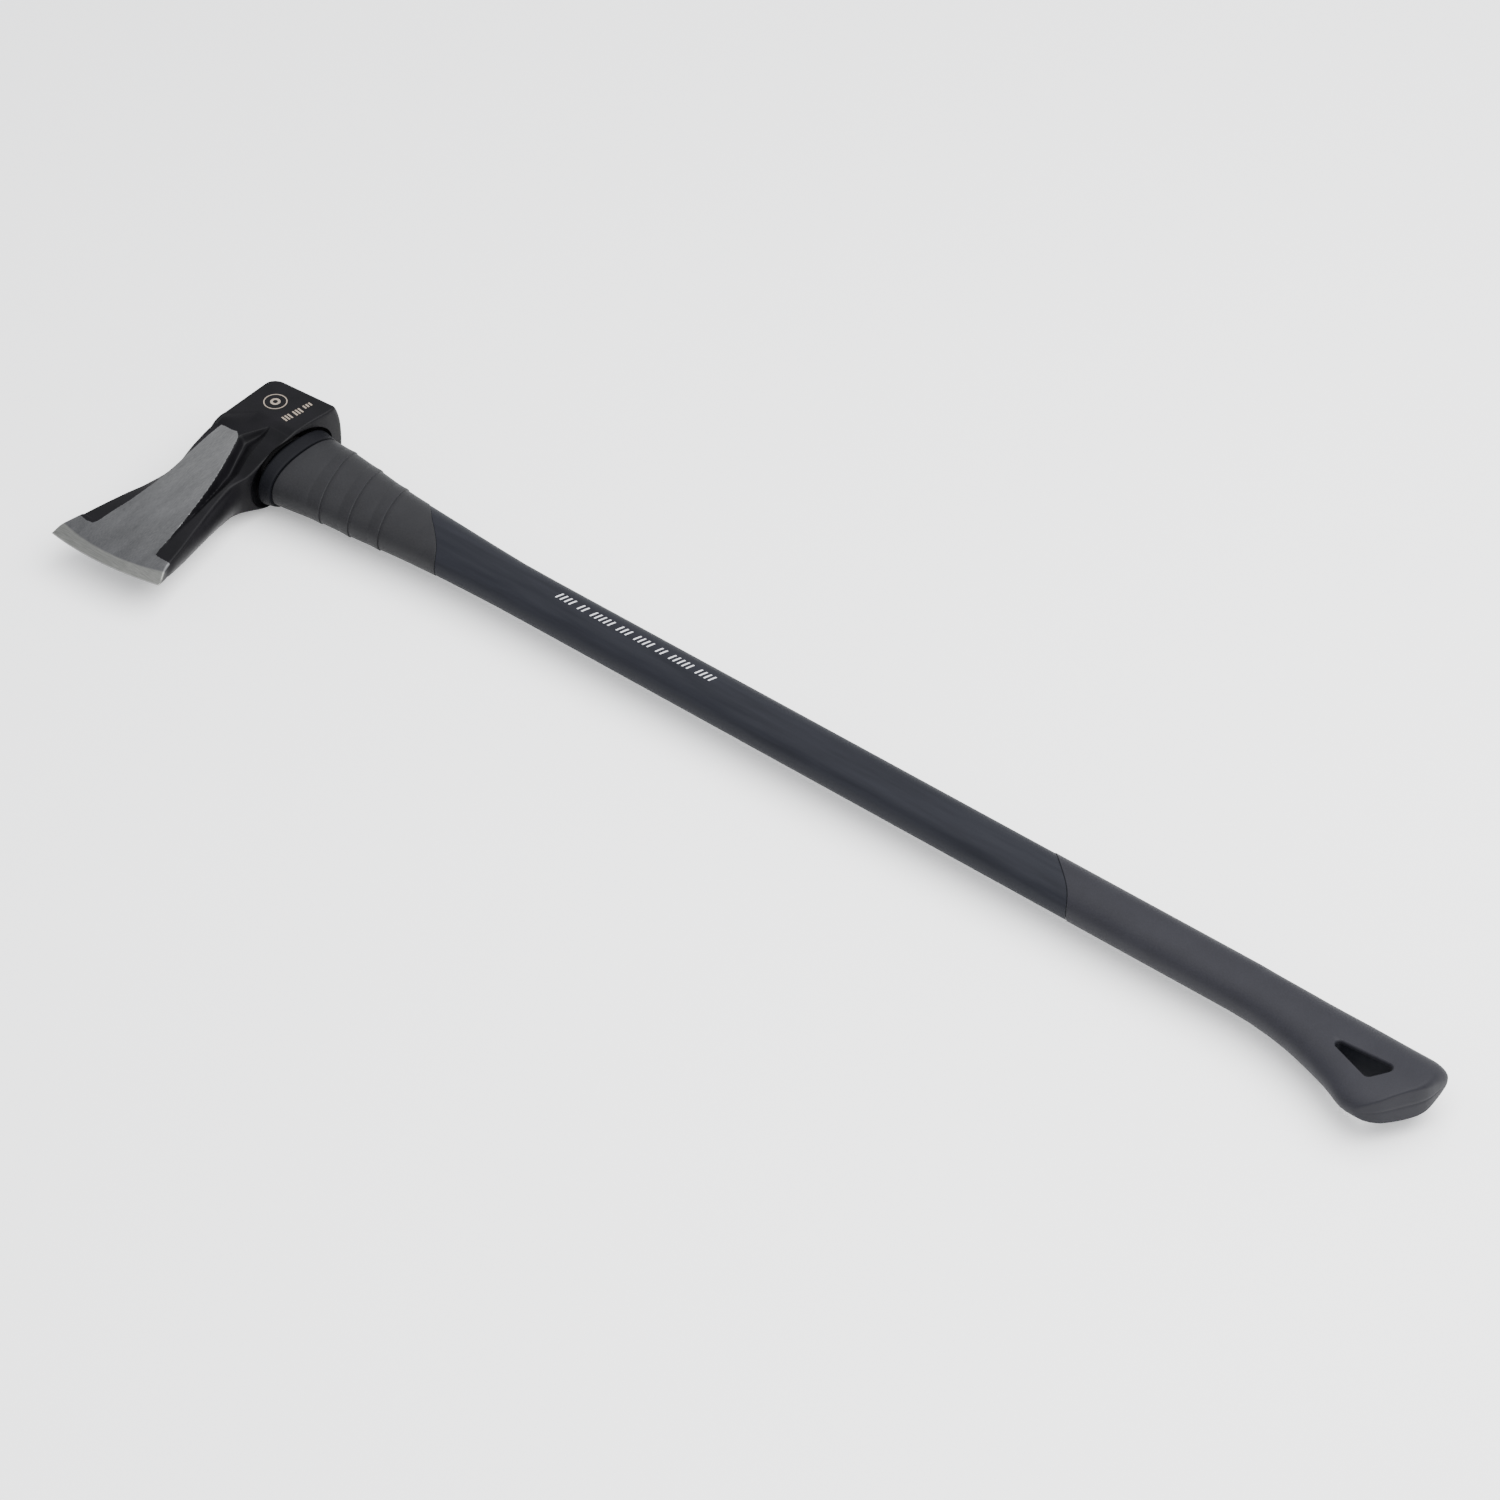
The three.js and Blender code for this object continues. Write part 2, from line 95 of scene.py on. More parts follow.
def weld(mesh):
    """Joins points that coincide, drops slivers and turns all faces outward."""
    work = bmesh.new()
    work.from_mesh(mesh)
    bmesh.ops.remove_doubles(work, verts=work.verts, dist=1e-6)
    bmesh.ops.dissolve_degenerate(work, edges=work.edges, dist=1e-7)
    bmesh.ops.recalc_face_normals(work, faces=work.faces)
    work.to_mesh(mesh)
    work.free()


def smooth(mesh, angle):
    """Shades smoothly except across edges sharper than the angle, in degrees."""
    mesh.shade_smooth()
    mesh.set_sharp_from_angle(angle=math.radians(angle))


def loop_faces(rows, columns):
    """Quads between neighbouring rows of a grid whose rows are closed loops."""
    faces = []
    for r in range(rows - 1):
        here = r * columns
        above = here + columns
        for c in range(columns):
            after = (c + 1) % columns
            faces.append((here + c, here + after, above + after, above + c))
    return faces


def loft(name, rings, caps=(True, True), smooth_angle=35):
    """A solid through rings of equal point counts."""
    rows = len(rings)
    columns = len(rings[0])
    faces = loop_faces(rows, columns)
    if caps[0]:
        faces.append(tuple(range(columns))[::-1])
    if caps[1]:
        faces.append(tuple((rows - 1) * columns + c for c in range(columns)))
    return new_object(name, np.concatenate(rings), faces, smooth_angle)


def hollow_loft(name, outer, inner, smooth_angle=35):
    """A tube: outer rings there, inner rings back, closed into one loop of rows."""
    rings = list(outer) + list(inner)[::-1]
    rings.append(rings[0])
    faces = loop_faces(len(rings), len(rings[0]))
    return new_object(name, np.concatenate(rings), faces, smooth_angle)


def cut(piece, tool, smooth_angle=35):
    """Takes tool's volume out of piece, and removes the tool."""
    modifier = piece.modifiers.new("cut", "BOOLEAN")
    modifier.operation = "DIFFERENCE"
    modifier.solver = "EXACT"
    modifier.object = tool
    graph = bpy.context.evaluated_depsgraph_get()
    mesh = bpy.data.meshes.new_from_object(piece.evaluated_get(graph))
    piece.modifiers.clear()
    piece.data = mesh
    bpy.data.objects.remove(tool)
    smooth(mesh, smooth_angle)


def plan_coordinates(mesh):
    """The mesh's vertices back in plan millimetres."""
    points = np.zeros(len(mesh.vertices) * 3)
    mesh.vertices.foreach_get("co", points)
    return (points.reshape(-1, 3) - np.array(ORIGIN)) / MM


def set_attribute(mesh, name, values):
    attribute = mesh.attributes.new(name, "FLOAT", "POINT")
    attribute.data.foreach_set("value", np.asarray(values, np.float32))


CURVE_STEP = 0.25
CURVE_REACH = 4  # how many blurs wide the rounding looks to each side


def curve(table, column=1, blur=0.0):
    """A function through a table's rows, rounded off over about blur millimetres."""
    keys = np.array([row[0] for row in table], float)
    values = np.array([row[column] for row in table], float)
    if not blur:
        return lambda at: np.interp(at, keys, values)
    reach = CURVE_REACH * blur
    fine = np.arange(keys[0] - reach, keys[-1] + reach, CURVE_STEP)
    padded = np.interp(fine, keys, values)
    first_slope = (values[1] - values[0]) / (keys[1] - keys[0])
    last_slope = (values[-1] - values[-2]) / (keys[-1] - keys[-2])
    padded += np.minimum(fine - keys[0], 0) * first_slope
    padded += np.maximum(fine - keys[-1], 0) * last_slope
    kernel = np.exp(-0.5 * (np.arange(-reach, reach + CURVE_STEP, CURVE_STEP) / blur) ** 2)
    kernel /= kernel.sum()
    soft = np.convolve(padded, kernel, mode="same")
    inside = (fine >= keys[0]) & (fine <= keys[-1])
    return lambda at: np.interp(at, fine[inside], soft[inside])


def smooth_min(a, b, blend):
    """The lower of two heights, with their meeting line rounded off over blend."""
    share = np.clip(0.5 + 0.5 * (b - a) / blend, 0, 1)
    return b + (a - b) * share - blend * share * (1 - share)


def smooth_max(a, b, blend):
    return -smooth_min(-a, -b, blend)


def ramp(x, low, high):
    """A smooth step from 0 at low to 1 at high."""
    t = np.clip((x - low) / (high - low), 0, 1)
    return t * t * (3 - 2 * t)


# ---------------------------------------------------------------- head: dimensions
HALF_THICKNESS = 23.54
TOE = np.array([-43.8, -139.5])
HEEL = np.array([40.0, -134.0])
EDGE_BULGE = 4.25
BEVEL_SLOPE = 2.72 / 7.6
WEDGE_TOP_DISTANCE = 126.2  # from the edge up the ground face to where it would end
WEDGE_TOP_HALF_THICKNESS = 19.4
WEDGE_POWER = 0.7
BELLY_FADE = 70  # over which the edge's curve dies out of the ground face
POLL_Y = 41.7
POLL_CROWN = 4.8
POLL_POWER = 2.6
POLL_TILT = 0.062
POLL_FILLET = 3.0
POLL_FILLET_SET = 0.62  # of the fillet's radius, by which its centre lies inside the poll's rim
POLL_CROWN_START_Z = 20.4
POLL_CROWN_ROWS = 25
TOE_CORNER = 8.0  # radius of the poll's vertical corner, seen in plan
TOE_CORNER_Y = 30.0
HEEL_CORNER = 3.0
HEEL_CORNER_Y = 36.0
CREST_FILLET = 1.5
CREST_FILLET_SHARE = 0.35  # of the half thickness, where that is thin
CHEEK_Y = -0.6
CHEEK_BLEND = 0.01
PLANE_BLEND = 0.5
BEVEL_BLEND = 0.12
EDGE_LAND = 0.04  # half thickness of the very edge
BIT_TOP_Y = -118.6  # below it the whole width is ground
BIT_STEP = 0.5
# the facet under the cheek: its top and foot in y, the x where its top edge starts to fall back, its drop
# from top to foot, and the least and greatest slope that it takes
FACET_TOP_Y = 5
FACET_FOOT_Y = -15.4
FACET_CORNER_X = -7
FACET_DROP = 4.15
FACET_SLOPES = (0.2, 0.8)
FACET_BLEND = 1.5
STRIP_TOP_Y = -14
RIB_LIP = 0.9  # how far the rib's edge stands up beside the groove
RIB_LIP_RANGE = (38, 48)
GROOVE_WALL = 0.3  # share of the groove's width that its wall takes
GROOVE_FLOOR = 0.4  # share at which its floor starts to rise to the rib

# y, x of the crest on each side of the head
TOE_CREST = [
    (-140, -43.7), (-132.3, -43.2), (-125, -40.4), (-118.3, -37.5), (-110.7, -35.5), (-103, -33.1),
    (-95.4, -30.7), (-87.6, -27.9), (-81, -25.1), (-72, -22.6), (-64, -20.9), (-58.6, -20.3), (-52.8, -20.5),
    (-45.6, -21.7), (-38.7, -23), (-26, -24.7), (-20, -25), (-16, -24.9), (-12.5, -24), (-9, -23.3),
    (22, -23.7), (50, -23.7),
]
HEEL_CREST = [
    (-140, 41.5), (-134, 40), (-130.4, 39), (-123, 35.9), (-117, 34.8), (-104, 32), (-90.5, 28.5),
    (-74, 24.4), (-63, 22), (-50, 19.9), (-43.7, 20.6), (-38, 22.6), (-30, 23.6), (-12, 23.7), (8, 24),
    (17, 24.2), (24.5, 25), (31, 25.8), (36, 26), (50, 26),
]
# y, how far the mid-plane of each flank stands outside its crest
TOE_INSET = [
    (-139, 0), (-125, 0), (-120, 0.8), (-104, 2), (-85, 3), (-70, 4), (-50, 4), (-43, 2.5), (-37, 0.6),
    (-28, 0), (50, 0),
]
HEEL_INSET = [
    (-139, 0), (-123, 0), (-117, 0.8), (-104, 1), (-90, 2.1), (-76, 3.4), (-63, 3.7), (-50, 2.9),
    (-43.5, 1.5), (-37.5, 0.1), (-30, 0), (50, 0),
]
# y, half thickness of the ribs and cheeks left as forged
RIB_HEIGHT = [(-141, 0.3), (-117, 5), (-50, 11.2), (-37.5, 13.3), (-24.5, 18.3), (5, 23.6), (30, 23.6)]
# y, x of the ground face's boundary towards toe and heel; the groove lies between the heel line and the rib
GROUND_TOE = [
    (-117.9, -24.8), (-107.1, -22.9), (-95.6, -20.5), (-84.6, -19.3), (-75, -18.4), (-66, -18), (-56, -18.2),
    (-45, -18.9), (-36, -19.4), (-27, -19.8), (-15.5, -19.6),
]
GROUND_HEEL = [
    (-118.3, 23.2), (-113.6, 22.2), (-106.2, 21.5), (-97.4, 20.1), (-88.6, 18.5), (-79.9, 16.7),
    (-71.1, 14.7), (-62.5, 12.6), (-53.7, 10.1), (-45.4, 7.2), (-37, 4.3), (-30.3, 1.8), (-25.4, -0.2),
    (-20.4, -2.3), (-16.6, -4.3),
]
GROOVE_LEFT = GROUND_HEEL + [(-15.2, -4.3), (-0.5, 7)]
GROOVE_RIGHT = [
    (-116, 24.3), (-100, 22.2), (-88, 20.8), (-83, 20.2), (-64.5, 17.8), (-52, 17), (-44.8, 16.4),
    (-39.4, 16), (-29.5, 13.9), (-22.6, 13), (-13, 11.7), (-2, 9), (-0.5, 7.6),
]
GROOVE_DEPTH = [
    (-95, 0), (-86, 0.2), (-78, 0.9), (-68, 1.8), (-55, 3), (-40, 4.4), (-24, 5.6), (-15, 5.6), (-7, 4),
    (-0.5, 0),
]
# y, how far the strip between ground face and toe crest falls below the ground face's plane
STRIP_DROP = [
    (-121, 0), (-118, 0.7), (-108, 1.4), (-95, 1.9), (-82, 2.1), (-73, 2.4), (-66, 3), (-58, 3.4), (-51, 3),
    (-45, 1.8), (-38, 1.3), (-26, 1), (-14, 0.4),
]
GROUND_TOP = [(-15.1, -15), (-11.2, -15.1), (-7.7, -14.2)]
GROUND_BIT = [
    (24.6, -119), (36, -118.6), (60, -117), (60, -170), (-60, -170), (-60, -120.4), (-36, -121),
    (-31.5, -121.8), (-26.6, -121.2),
]
GROUND_OUTLINE = (
    [(x, y) for y, x in GROUND_TOE] + GROUND_TOP + [(x, y) for y, x in GROUND_HEEL[::-1]] + GROUND_BIT
)
# how the head's skin is divided
COLUMNS = 124
FLANK_STEPS = 22
FILLET_SHARES = (0, 0.12, 0.34, 0.66)
FINE_ROWS_END = 10
FINE_ROW_STEP = 0.45
ROW_STEP = 0.62
EDGE_BEND_RANGE = (5, 60)
POLL_BEND_RANGE = (8, 34)
# x, half width, half depth, shift in y of the dish that the collar sits in
DISH = [
    (14.0, 20.6, 14.1, 0), (16.6, 20.9, 14.4, 0), (17.6, 22.5, 15.4, 0), (18.2, 25, 16.9, -0.3),
    (19.6, 30, 19.4, -0.8), (21.6, 33.2, 20.8, -1.6), (24.5, 35.4, 21.8, -2.2), (31, 37.4, 23, -2.2),
]
HEAD_SMOOTH_ANGLE = 38

chord = HEEL - TOE
edge_tilt = math.atan2(chord[1], chord[0])
blade_up = np.array([-math.sin(edge_tilt), math.cos(edge_tilt)])
blade_right = np.array([blade_up[1], -blade_up[0]])
edge_middle = (TOE + HEEL) / 2 - blade_up * EDGE_BULGE
edge_radius = (float(chord @ chord) / 4 + EDGE_BULGE ** 2) / (2 * EDGE_BULGE)
edge_centre = edge_middle + blade_up * edge_radius


def edge_y(x):
    return edge_centre[1] - np.sqrt(edge_radius ** 2 - (x - edge_centre[0]) ** 2)


def edge_distance(x, y):
    """How far a plan point lies inside the curved cutting edge."""
    return edge_radius - np.hypot(x - edge_centre[0], y - edge_centre[1])


def ground_height(x, y):
    """Half thickness of the ground wedge; it is crowned, falling back with the edge towards toe and heel."""
    px = x - edge_middle[0]
    py = y - edge_middle[1]
    along = px * blade_up[0] + py * blade_up[1]
    across = px * blade_right[0] + py * blade_right[1]
    sagitta = edge_radius - np.sqrt(np.maximum(edge_radius ** 2 - across ** 2, 1))
    lag = sagitta * np.clip(1 - along / BELLY_FADE, 0, None)
    share = np.clip((along - lag) / WEDGE_TOP_DISTANCE, TINY, None)
    return WEDGE_TOP_HALF_THICKNESS * share ** WEDGE_POWER


def bevel_height(x, y):
    return BEVEL_SLOPE * np.clip(edge_distance(x, y), 0, None)


toe_crest = curve(TOE_CREST, blur=1.2)
heel_crest = curve(HEEL_CREST, blur=1.4)
toe_inset = curve(TOE_INSET, blur=2)
heel_inset = curve(HEEL_INSET, blur=1.2)
rib_height = curve(RIB_HEIGHT, blur=2.2)
ground_toe = curve(GROUND_TOE)
groove_left = curve(GROOVE_LEFT)
groove_right = curve(GROOVE_RIGHT, blur=1)
groove_depth = curve(GROOVE_DEPTH, blur=1.2)
strip_drop = curve(STRIP_DROP, blur=1)


def facet_height(x, y):
    """The cheek and the facet that slopes from it down to the top of the ground face."""
    top = FACET_TOP_Y + np.minimum(x - FACET_CORNER_X, 0)
    slope = np.clip(FACET_DROP / np.maximum(top - FACET_FOOT_Y, 1), *FACET_SLOPES)
    below = top - y
    return HALF_THICKNESS - slope * smooth_max(below, 0 * below, FACET_BLEND)


def middle_height(x, y):
    """The ground face, the strip that falls away from it towards the toe, and the facet above."""
    ground = ground_height(x, y)
    facet = facet_height(x, y)
    boundary = ground_toe(y)
    share = np.clip((boundary - x) / np.maximum(boundary - toe_crest(y), 0.5), 0, 1.2)
    strip = np.maximum(ground - strip_drop(y) * share, facet)
    return np.where(y > STRIP_TOP_Y, smooth_max(ground, facet, PLANE_BLEND), strip)


def groove_height(x, y):
    """The groove beside the ground face, and the rib between it and the heel crest."""
    left = groove_left(y)
    right = groove_right(y)
    rib = rib_height(y)
    lip = RIB_LIP * ramp(-y, *RIB_LIP_RANGE)
    left_height = smooth_max(ground_height(left, y), facet_height(left, y), PLANE_BLEND)
    across = np.clip((x - left) / np.maximum(right - left, 0.4), 0, 1)
    wall = ramp(across, 0, GROOVE_WALL)
    rise = np.clip((across - GROOVE_FLOOR) / (1 - GROOVE_FLOOR), 0, 1)
    groove = left_height + (rib + lip - left_height) * wall - groove_depth(y) * wall * (1 - rise)
    outward = np.clip((x - right) / np.maximum(heel_crest(y) - right, 1), 0, 1)
    return np.where(x > right, rib + lip * (1 - outward), groove)


def head_height(x, y):
    """Half thickness of the head at a plan point."""
    cheek = smooth_min(facet_height(x, y), HALF_THICKNESS + 0 * x, CHEEK_BLEND)
    forged = np.where(x > groove_left(y), groove_height(x, y), middle_height(x, y))
    forged = np.where(y > CHEEK_Y, cheek, forged)
    bit = np.clip((BIT_TOP_Y - y) / BIT_STEP, 0, 1)
    blade = forged * (1 - bit) + ground_height(x, y) * bit
    return smooth_min(blade, bevel_height(x, y) + EDGE_LAND, BEVEL_BLEND)


def corner_drop(x):
    """How far the poll falls back at its two vertical corners."""
    toe_side = np.clip(toe_crest(TOE_CORNER_Y) + TOE_CORNER - x, 0, TOE_CORNER)
    heel_side = np.clip(x - (heel_crest(HEEL_CORNER_Y) - HEEL_CORNER), 0, HEEL_CORNER)
    drop = TOE_CORNER - np.sqrt(TOE_CORNER ** 2 - toe_side ** 2)
    return drop + HEEL_CORNER - np.sqrt(HEEL_CORNER ** 2 - heel_side ** 2)


def poll_profile():
    """(y, half thickness) from the cheek's end round its edge and over the crowned poll to the mid-plane."""
    fillet_y = POLL_Y - POLL_CROWN - POLL_FILLET * POLL_FILLET_SET
    fillet_z = HALF_THICKNESS - POLL_FILLET
    profile = []
    for angle in np.radians(np.arange(90, 14, -7.5)):
        y = fillet_y + POLL_FILLET * math.cos(angle)
        profile.append((y, fillet_z + POLL_FILLET * math.sin(angle)))
    for z in np.linspace(POLL_CROWN_START_Z, 0, POLL_CROWN_ROWS):
        profile.append((POLL_Y - POLL_CROWN * (z / HALF_THICKNESS) ** POLL_POWER, z))
    return profile


def head_rows():
    """For each row of the head's skin: its offset in y and, on the poll, its fixed half thickness."""
    foot = float(edge_y(0.0))
    profile = poll_profile()
    end = profile[0][0] - foot
    near = np.arange(0, FINE_ROWS_END, FINE_ROW_STEP)
    far = np.arange(FINE_ROWS_END, end - ROW_STEP / 2, ROW_STEP)
    body = [(offset, None) for offset in np.concatenate([near, far])]
    return body + [(y - foot, z) for y, z in profile]


def row_curve(offset):
    """y over x along one row: it follows the curved edge below and the tilted, rounded poll above."""
    foot = float(edge_y(0.0))
    bend = 1 - ramp(offset, *EDGE_BEND_RANGE)
    poll = ramp(foot + offset, *POLL_BEND_RANGE)
    return lambda x: foot + offset + bend * (edge_y(x) - foot) + poll * (POLL_TILT * x - corner_drop(x))


def round_crests(x, z, low, high):
    """Rounds a row off where it meets the two flanks."""
    distance = np.minimum(x - low, high - x)
    radius = np.minimum(CREST_FILLET, CREST_FILLET_SHARE * z)
    short = np.clip(1 - distance / np.maximum(radius, TINY), 0, 1)
    return np.maximum(z - radius * (1 - np.sqrt(1 - short ** 2)), 0.0)


def head_loop(offset, fixed):
    """One loop of the head's skin: the upper side, the heel flank, the lower side and the toe flank."""
    row_y = row_curve(offset)
    low = -30.0
    high = 30.0
    for _ in range(6):  # settles where the row's curve meets the two crests
        low = float(toe_crest(row_y(low)))
        high = float(heel_crest(row_y(high)))
    ends = CREST_FILLET * np.array(FILLET_SHARES)
    inner = np.linspace(low + CREST_FILLET, high - CREST_FILLET, COLUMNS + 1)
    x = np.concatenate([low + ends, inner, (high - ends)[::-1]])
    y = row_y(x)
    z = head_height(x, y) if fixed is None else np.full(len(x), fixed)
    z = round_crests(x, z, low, high)

    t = np.linspace(1, -1, FLANK_STEPS + 2)[1:-1]
    heel_x = high + float(heel_inset(y[-1])) * (1 - t ** 2)
    toe_x = low - float(toe_inset(y[0])) * (1 - t ** 2)
    heel_flank = np.stack([heel_x, np.full(FLANK_STEPS, y[-1]), z[-1] * t], 1)
    toe_flank = np.stack([toe_x, np.full(FLANK_STEPS, y[0]), -z[0] * t], 1)
    upper = np.stack([x, y, z], 1)
    lower = np.stack([x, y, -z], 1)[::-1]
    return np.concatenate([upper, heel_flank, lower, toe_flank])


# ---------------------------------------------------------------- handle: dimensions
SECTION_POWER = 2.3
SHOULDER_X = 33.8
TONGUE = (17.5, 11.0)
EYE = (19.5, 13.0)
SKIN = 2.6
WAIST_X = 34.2  # where the jacket has widened to fill the guard
NECK_STATIONS = (48, 65, 80, 95, 110)
BUTT_STATIONS = (744, 758, 773, 788, 803, 817, 832)
BARE_INSET = 0.3  # how far the bare shaft lies under the sleeves' outer form
GUARD_LIP = 0.9
SLEEVE_RIM = 0.45
WRAP_TILT = 0.32
WRAP_STEP = 0.55
WRAP_LINES_X = (61, 83.5, 106.5)
# x from a wrap's line, and how far the guard stands out there
WRAP_PROFILE = (
    (-8.6, 0), (-8.2, -0.06), (-7.8, 0.03), (-4, 0.25), (-1.2, WRAP_STEP), (-0.45, WRAP_STEP), (-0.12, 0.3),
    (0.02, -0.12), (0.3, -0.15), (0.6, 0), (3, 0),
)
GUARD_END_X = 127.6
GRIP_START_X = 601.0
# x, half width, half depth, centre y of the sleeves' outer form
HANDLE_FORM = [
    (33.8, 29.8, 16.5, 0.3), (48, 28.9, 15.7, 1), (65, 26.9, 14.6, 1.4), (80, 25.4, 13.9, 0.9),
    (95, 23.9, 13.5, 0.3), (110, 22.2, 13.1, 0.4), (130, 20.8, 12.6, 0.8), (155, 19.2, 12.2, 0.7),
    (180, 17.9, 11.9, 0.3), (205, 16.9, 11.7, 0), (744, 16.9, 11.7, 0), (758.7, 17, 11.7, -0.8),
    (773.4, 18.3, 11.6, -1.9), (788.2, 19.9, 11.5, -3.7), (802.9, 22.4, 11.5, -5.9), (817.7, 25, 11.4, -8.1),
    (832.5, 27.6, 11.4, -10.8), (843, 29, 11.4, -12.2), (880, 29, 11.4, -12.2),
]
# y, how far a sleeve end's sweep runs towards the butt
SLEEVE_SWEEP = [
    (-30, 31), (-17.5, 28.4), (-13.5, 26), (-9, 22.4), (-4, 17.2), (1.6, 10.6), (6.6, 4.6), (11, 0),
    (18, -7.5), (30, -17),
]
# y, x of the butt's end face
BUTT_END = [
    (-44, 839), (-41.5, 843), (-39.4, 846.2), (-35.5, 850.8), (-31.8, 854.2), (-25.9, 857.8), (-20.7, 861),
    (-13, 865.6), (-8, 867.7), (-4, 868.4), (4, 868.8), (9, 868.7), (11.8, 868), (14.7, 865.8), (16.5, 862.5),
    (17.2, 859), (18, 850),
]
# y, radius of the rounding between the butt's faces and its end
BUTT_ROUNDING = [(-44, 1.2), (-22, 1.3), (-13, 2), (-5, 4), (3, 7), (11, 10), (18, 10)]
JACKET_END_SETBACK = 17
GRIP_HOLLOW_SETBACK = 10
BUTT_SIDE_ROUNDING = 1.6
BUTT_MIDDLE_X = 850.0
BUTT_HALF_WIDTH = 28.8
BUTT_HALF_DEPTH = 11.4
# share of the end face's half depth, and its bow there per 10 mm of half depth
BUTT_BOW = ((0.75, 0.1), (0.5, 0.2), (0.25, 0.25), (0.08, 0.26), (0.03, 0.1), (0.0, 0.1))
# x past the grip's start, and how far its rings have straightened there
GRIP_STRAIGHTENING = ((12, 0.25), (26, 0.55), (42, 0.85), (60, 1.0))
# the hanging hole's corners: x, y, radius; then how far its wall stands back at heights over the face
HOLE_CORNERS = [(812.8, -12.7, 2.7), (836.8, -20.1, 3.5), (842.3, -11.3, 3.3)]
HOLE_FLARE = ((3, 1.5), (0.1, 1.1), (-0.25, 0.6), (-0.7, 0.2), (-1.3, 0.0))
HOLE_X = 830.0
HOLE_CLEARANCE = 0.25
# x, half width, half depth of the collar's outside, and how it is trimmed and shifted in y
COLLAR_PROFILE = [
    (19.2, 20.6, 13.8), (20.2, 22.4, 14.7), (22, 25.5, 16.2), (23.6, 30, 17.8), (24.6, 32.6, 18.7),
    (25.2, 33.9, 19.2), (25.9, 34.3, 19.4), (26.6, 34.3, 19.3), (29.5, 33.7, 18.5), (31.6, 33.4, 17.9),
    (33, 33.1, 17.5), (33.4, 32.8, 17.3), (33.5, 32.2, 16.9),
]
COLLAR_TRIM = 0.93
COLLAR_SHIFT = 0.01
RING_POINTS = 144
RUBBER_SMOOTH_ANGLE = 34

half_width = curve(HANDLE_FORM, 1, blur=5)
half_depth = curve(HANDLE_FORM, 2, blur=5)
centre_y = curve(HANDLE_FORM, 3, blur=5)
sleeve_sweep = curve(SLEEVE_SWEEP, blur=2)
butt_end = curve(BUTT_END, blur=1)
butt_rounding = curve(BUTT_ROUNDING, blur=2)


def signed_power(value, power):
    return np.sign(value) * np.abs(value) ** power


def oval(width, depth, points=RING_POINTS, power=SECTION_POWER):
    """A superellipse's (y, z), starting at +y and turning towards +z."""
    angle = 2 * math.pi * np.arange(points) / points
    return width * signed_power(np.cos(angle), 2 / power), depth * signed_power(np.sin(angle), 2 / power)


def ring(x, grow=0.0, sweep=None):
    """One section of the sleeves' form near x; sweep(y) moves each of its points along the handle."""
    y, z = oval(half_width(x) + grow, half_depth(x) + grow)
    y = y + centre_y(x)
    if sweep is None:
        return np.stack([np.full(len(y), float(x)), y, z], 1)
    along = x + sweep(y)
    unit_y, unit_z = oval(1, 1)
    y = (half_width(along) + grow) * unit_y + centre_y(along)
    z = (half_depth(along) + grow) * unit_z
    return np.stack([x + sweep(y), y, z], 1)


def bar(x, size, grow=0.0):
    """A plain oval section at x."""
    y, z = oval(size[0] + grow, size[1] + grow)
    return np.stack([np.full(len(y), float(x)), y, z], 1)


# ---------------------------------------------------------------- pieces
def make_head():
    head = loft("head", [head_loop(offset, fixed) for offset, fixed in head_rows()], (True, False))
    cut(head, loft("eye_tool", [bar(x, EYE) for x in (-60, 60)]), HEAD_SMOOTH_ANGLE)
    dish = [bar(x, (width, depth)) + np.array([0, shift, 0]) for x, width, depth, shift in DISH]
    cut(head, loft("dish_tool", dish), HEAD_SMOOTH_ANGLE)
    store_paint_limits(head.data)
    return head


def store_paint_limits(mesh):
    """Distances that tell bare steel, bevel and enamel apart, one value per point of the head."""
    x, y, z = plan_coordinates(mesh).T
    set_attribute(mesh, "ground", outline_distance(x, y, GROUND_OUTLINE))
    set_attribute(mesh, "edge", edge_distance(x, y))
    set_attribute(mesh, "bevel", ground_height(x, y) - bevel_height(x, y))
    set_attribute(mesh, "flank", head_height(x, y) - np.abs(z))


def outline_distance(x, y, outline):
    """Signed distance to a plan outline, positive inside."""
    best = np.full(len(x), 1e9)
    inside = np.zeros(len(x), bool)
    for (ax, ay), (bx, by) in zip(outline, outline[1:] + outline[:1]):
        ex, ey = bx - ax, by - ay
        t = np.clip(((x - ax) * ex + (y - ay) * ey) / (ex * ex + ey * ey), 0, 1)
        best = np.minimum(best, np.hypot(x - ax - t * ex, y - ay - t * ey))
        if ay != by:
            crosses = (ay > y) != (by > y)
            inside ^= crosses & (x < ax + (y - ay) / (by - ay) * ex)
    return np.where(inside, best, -best)


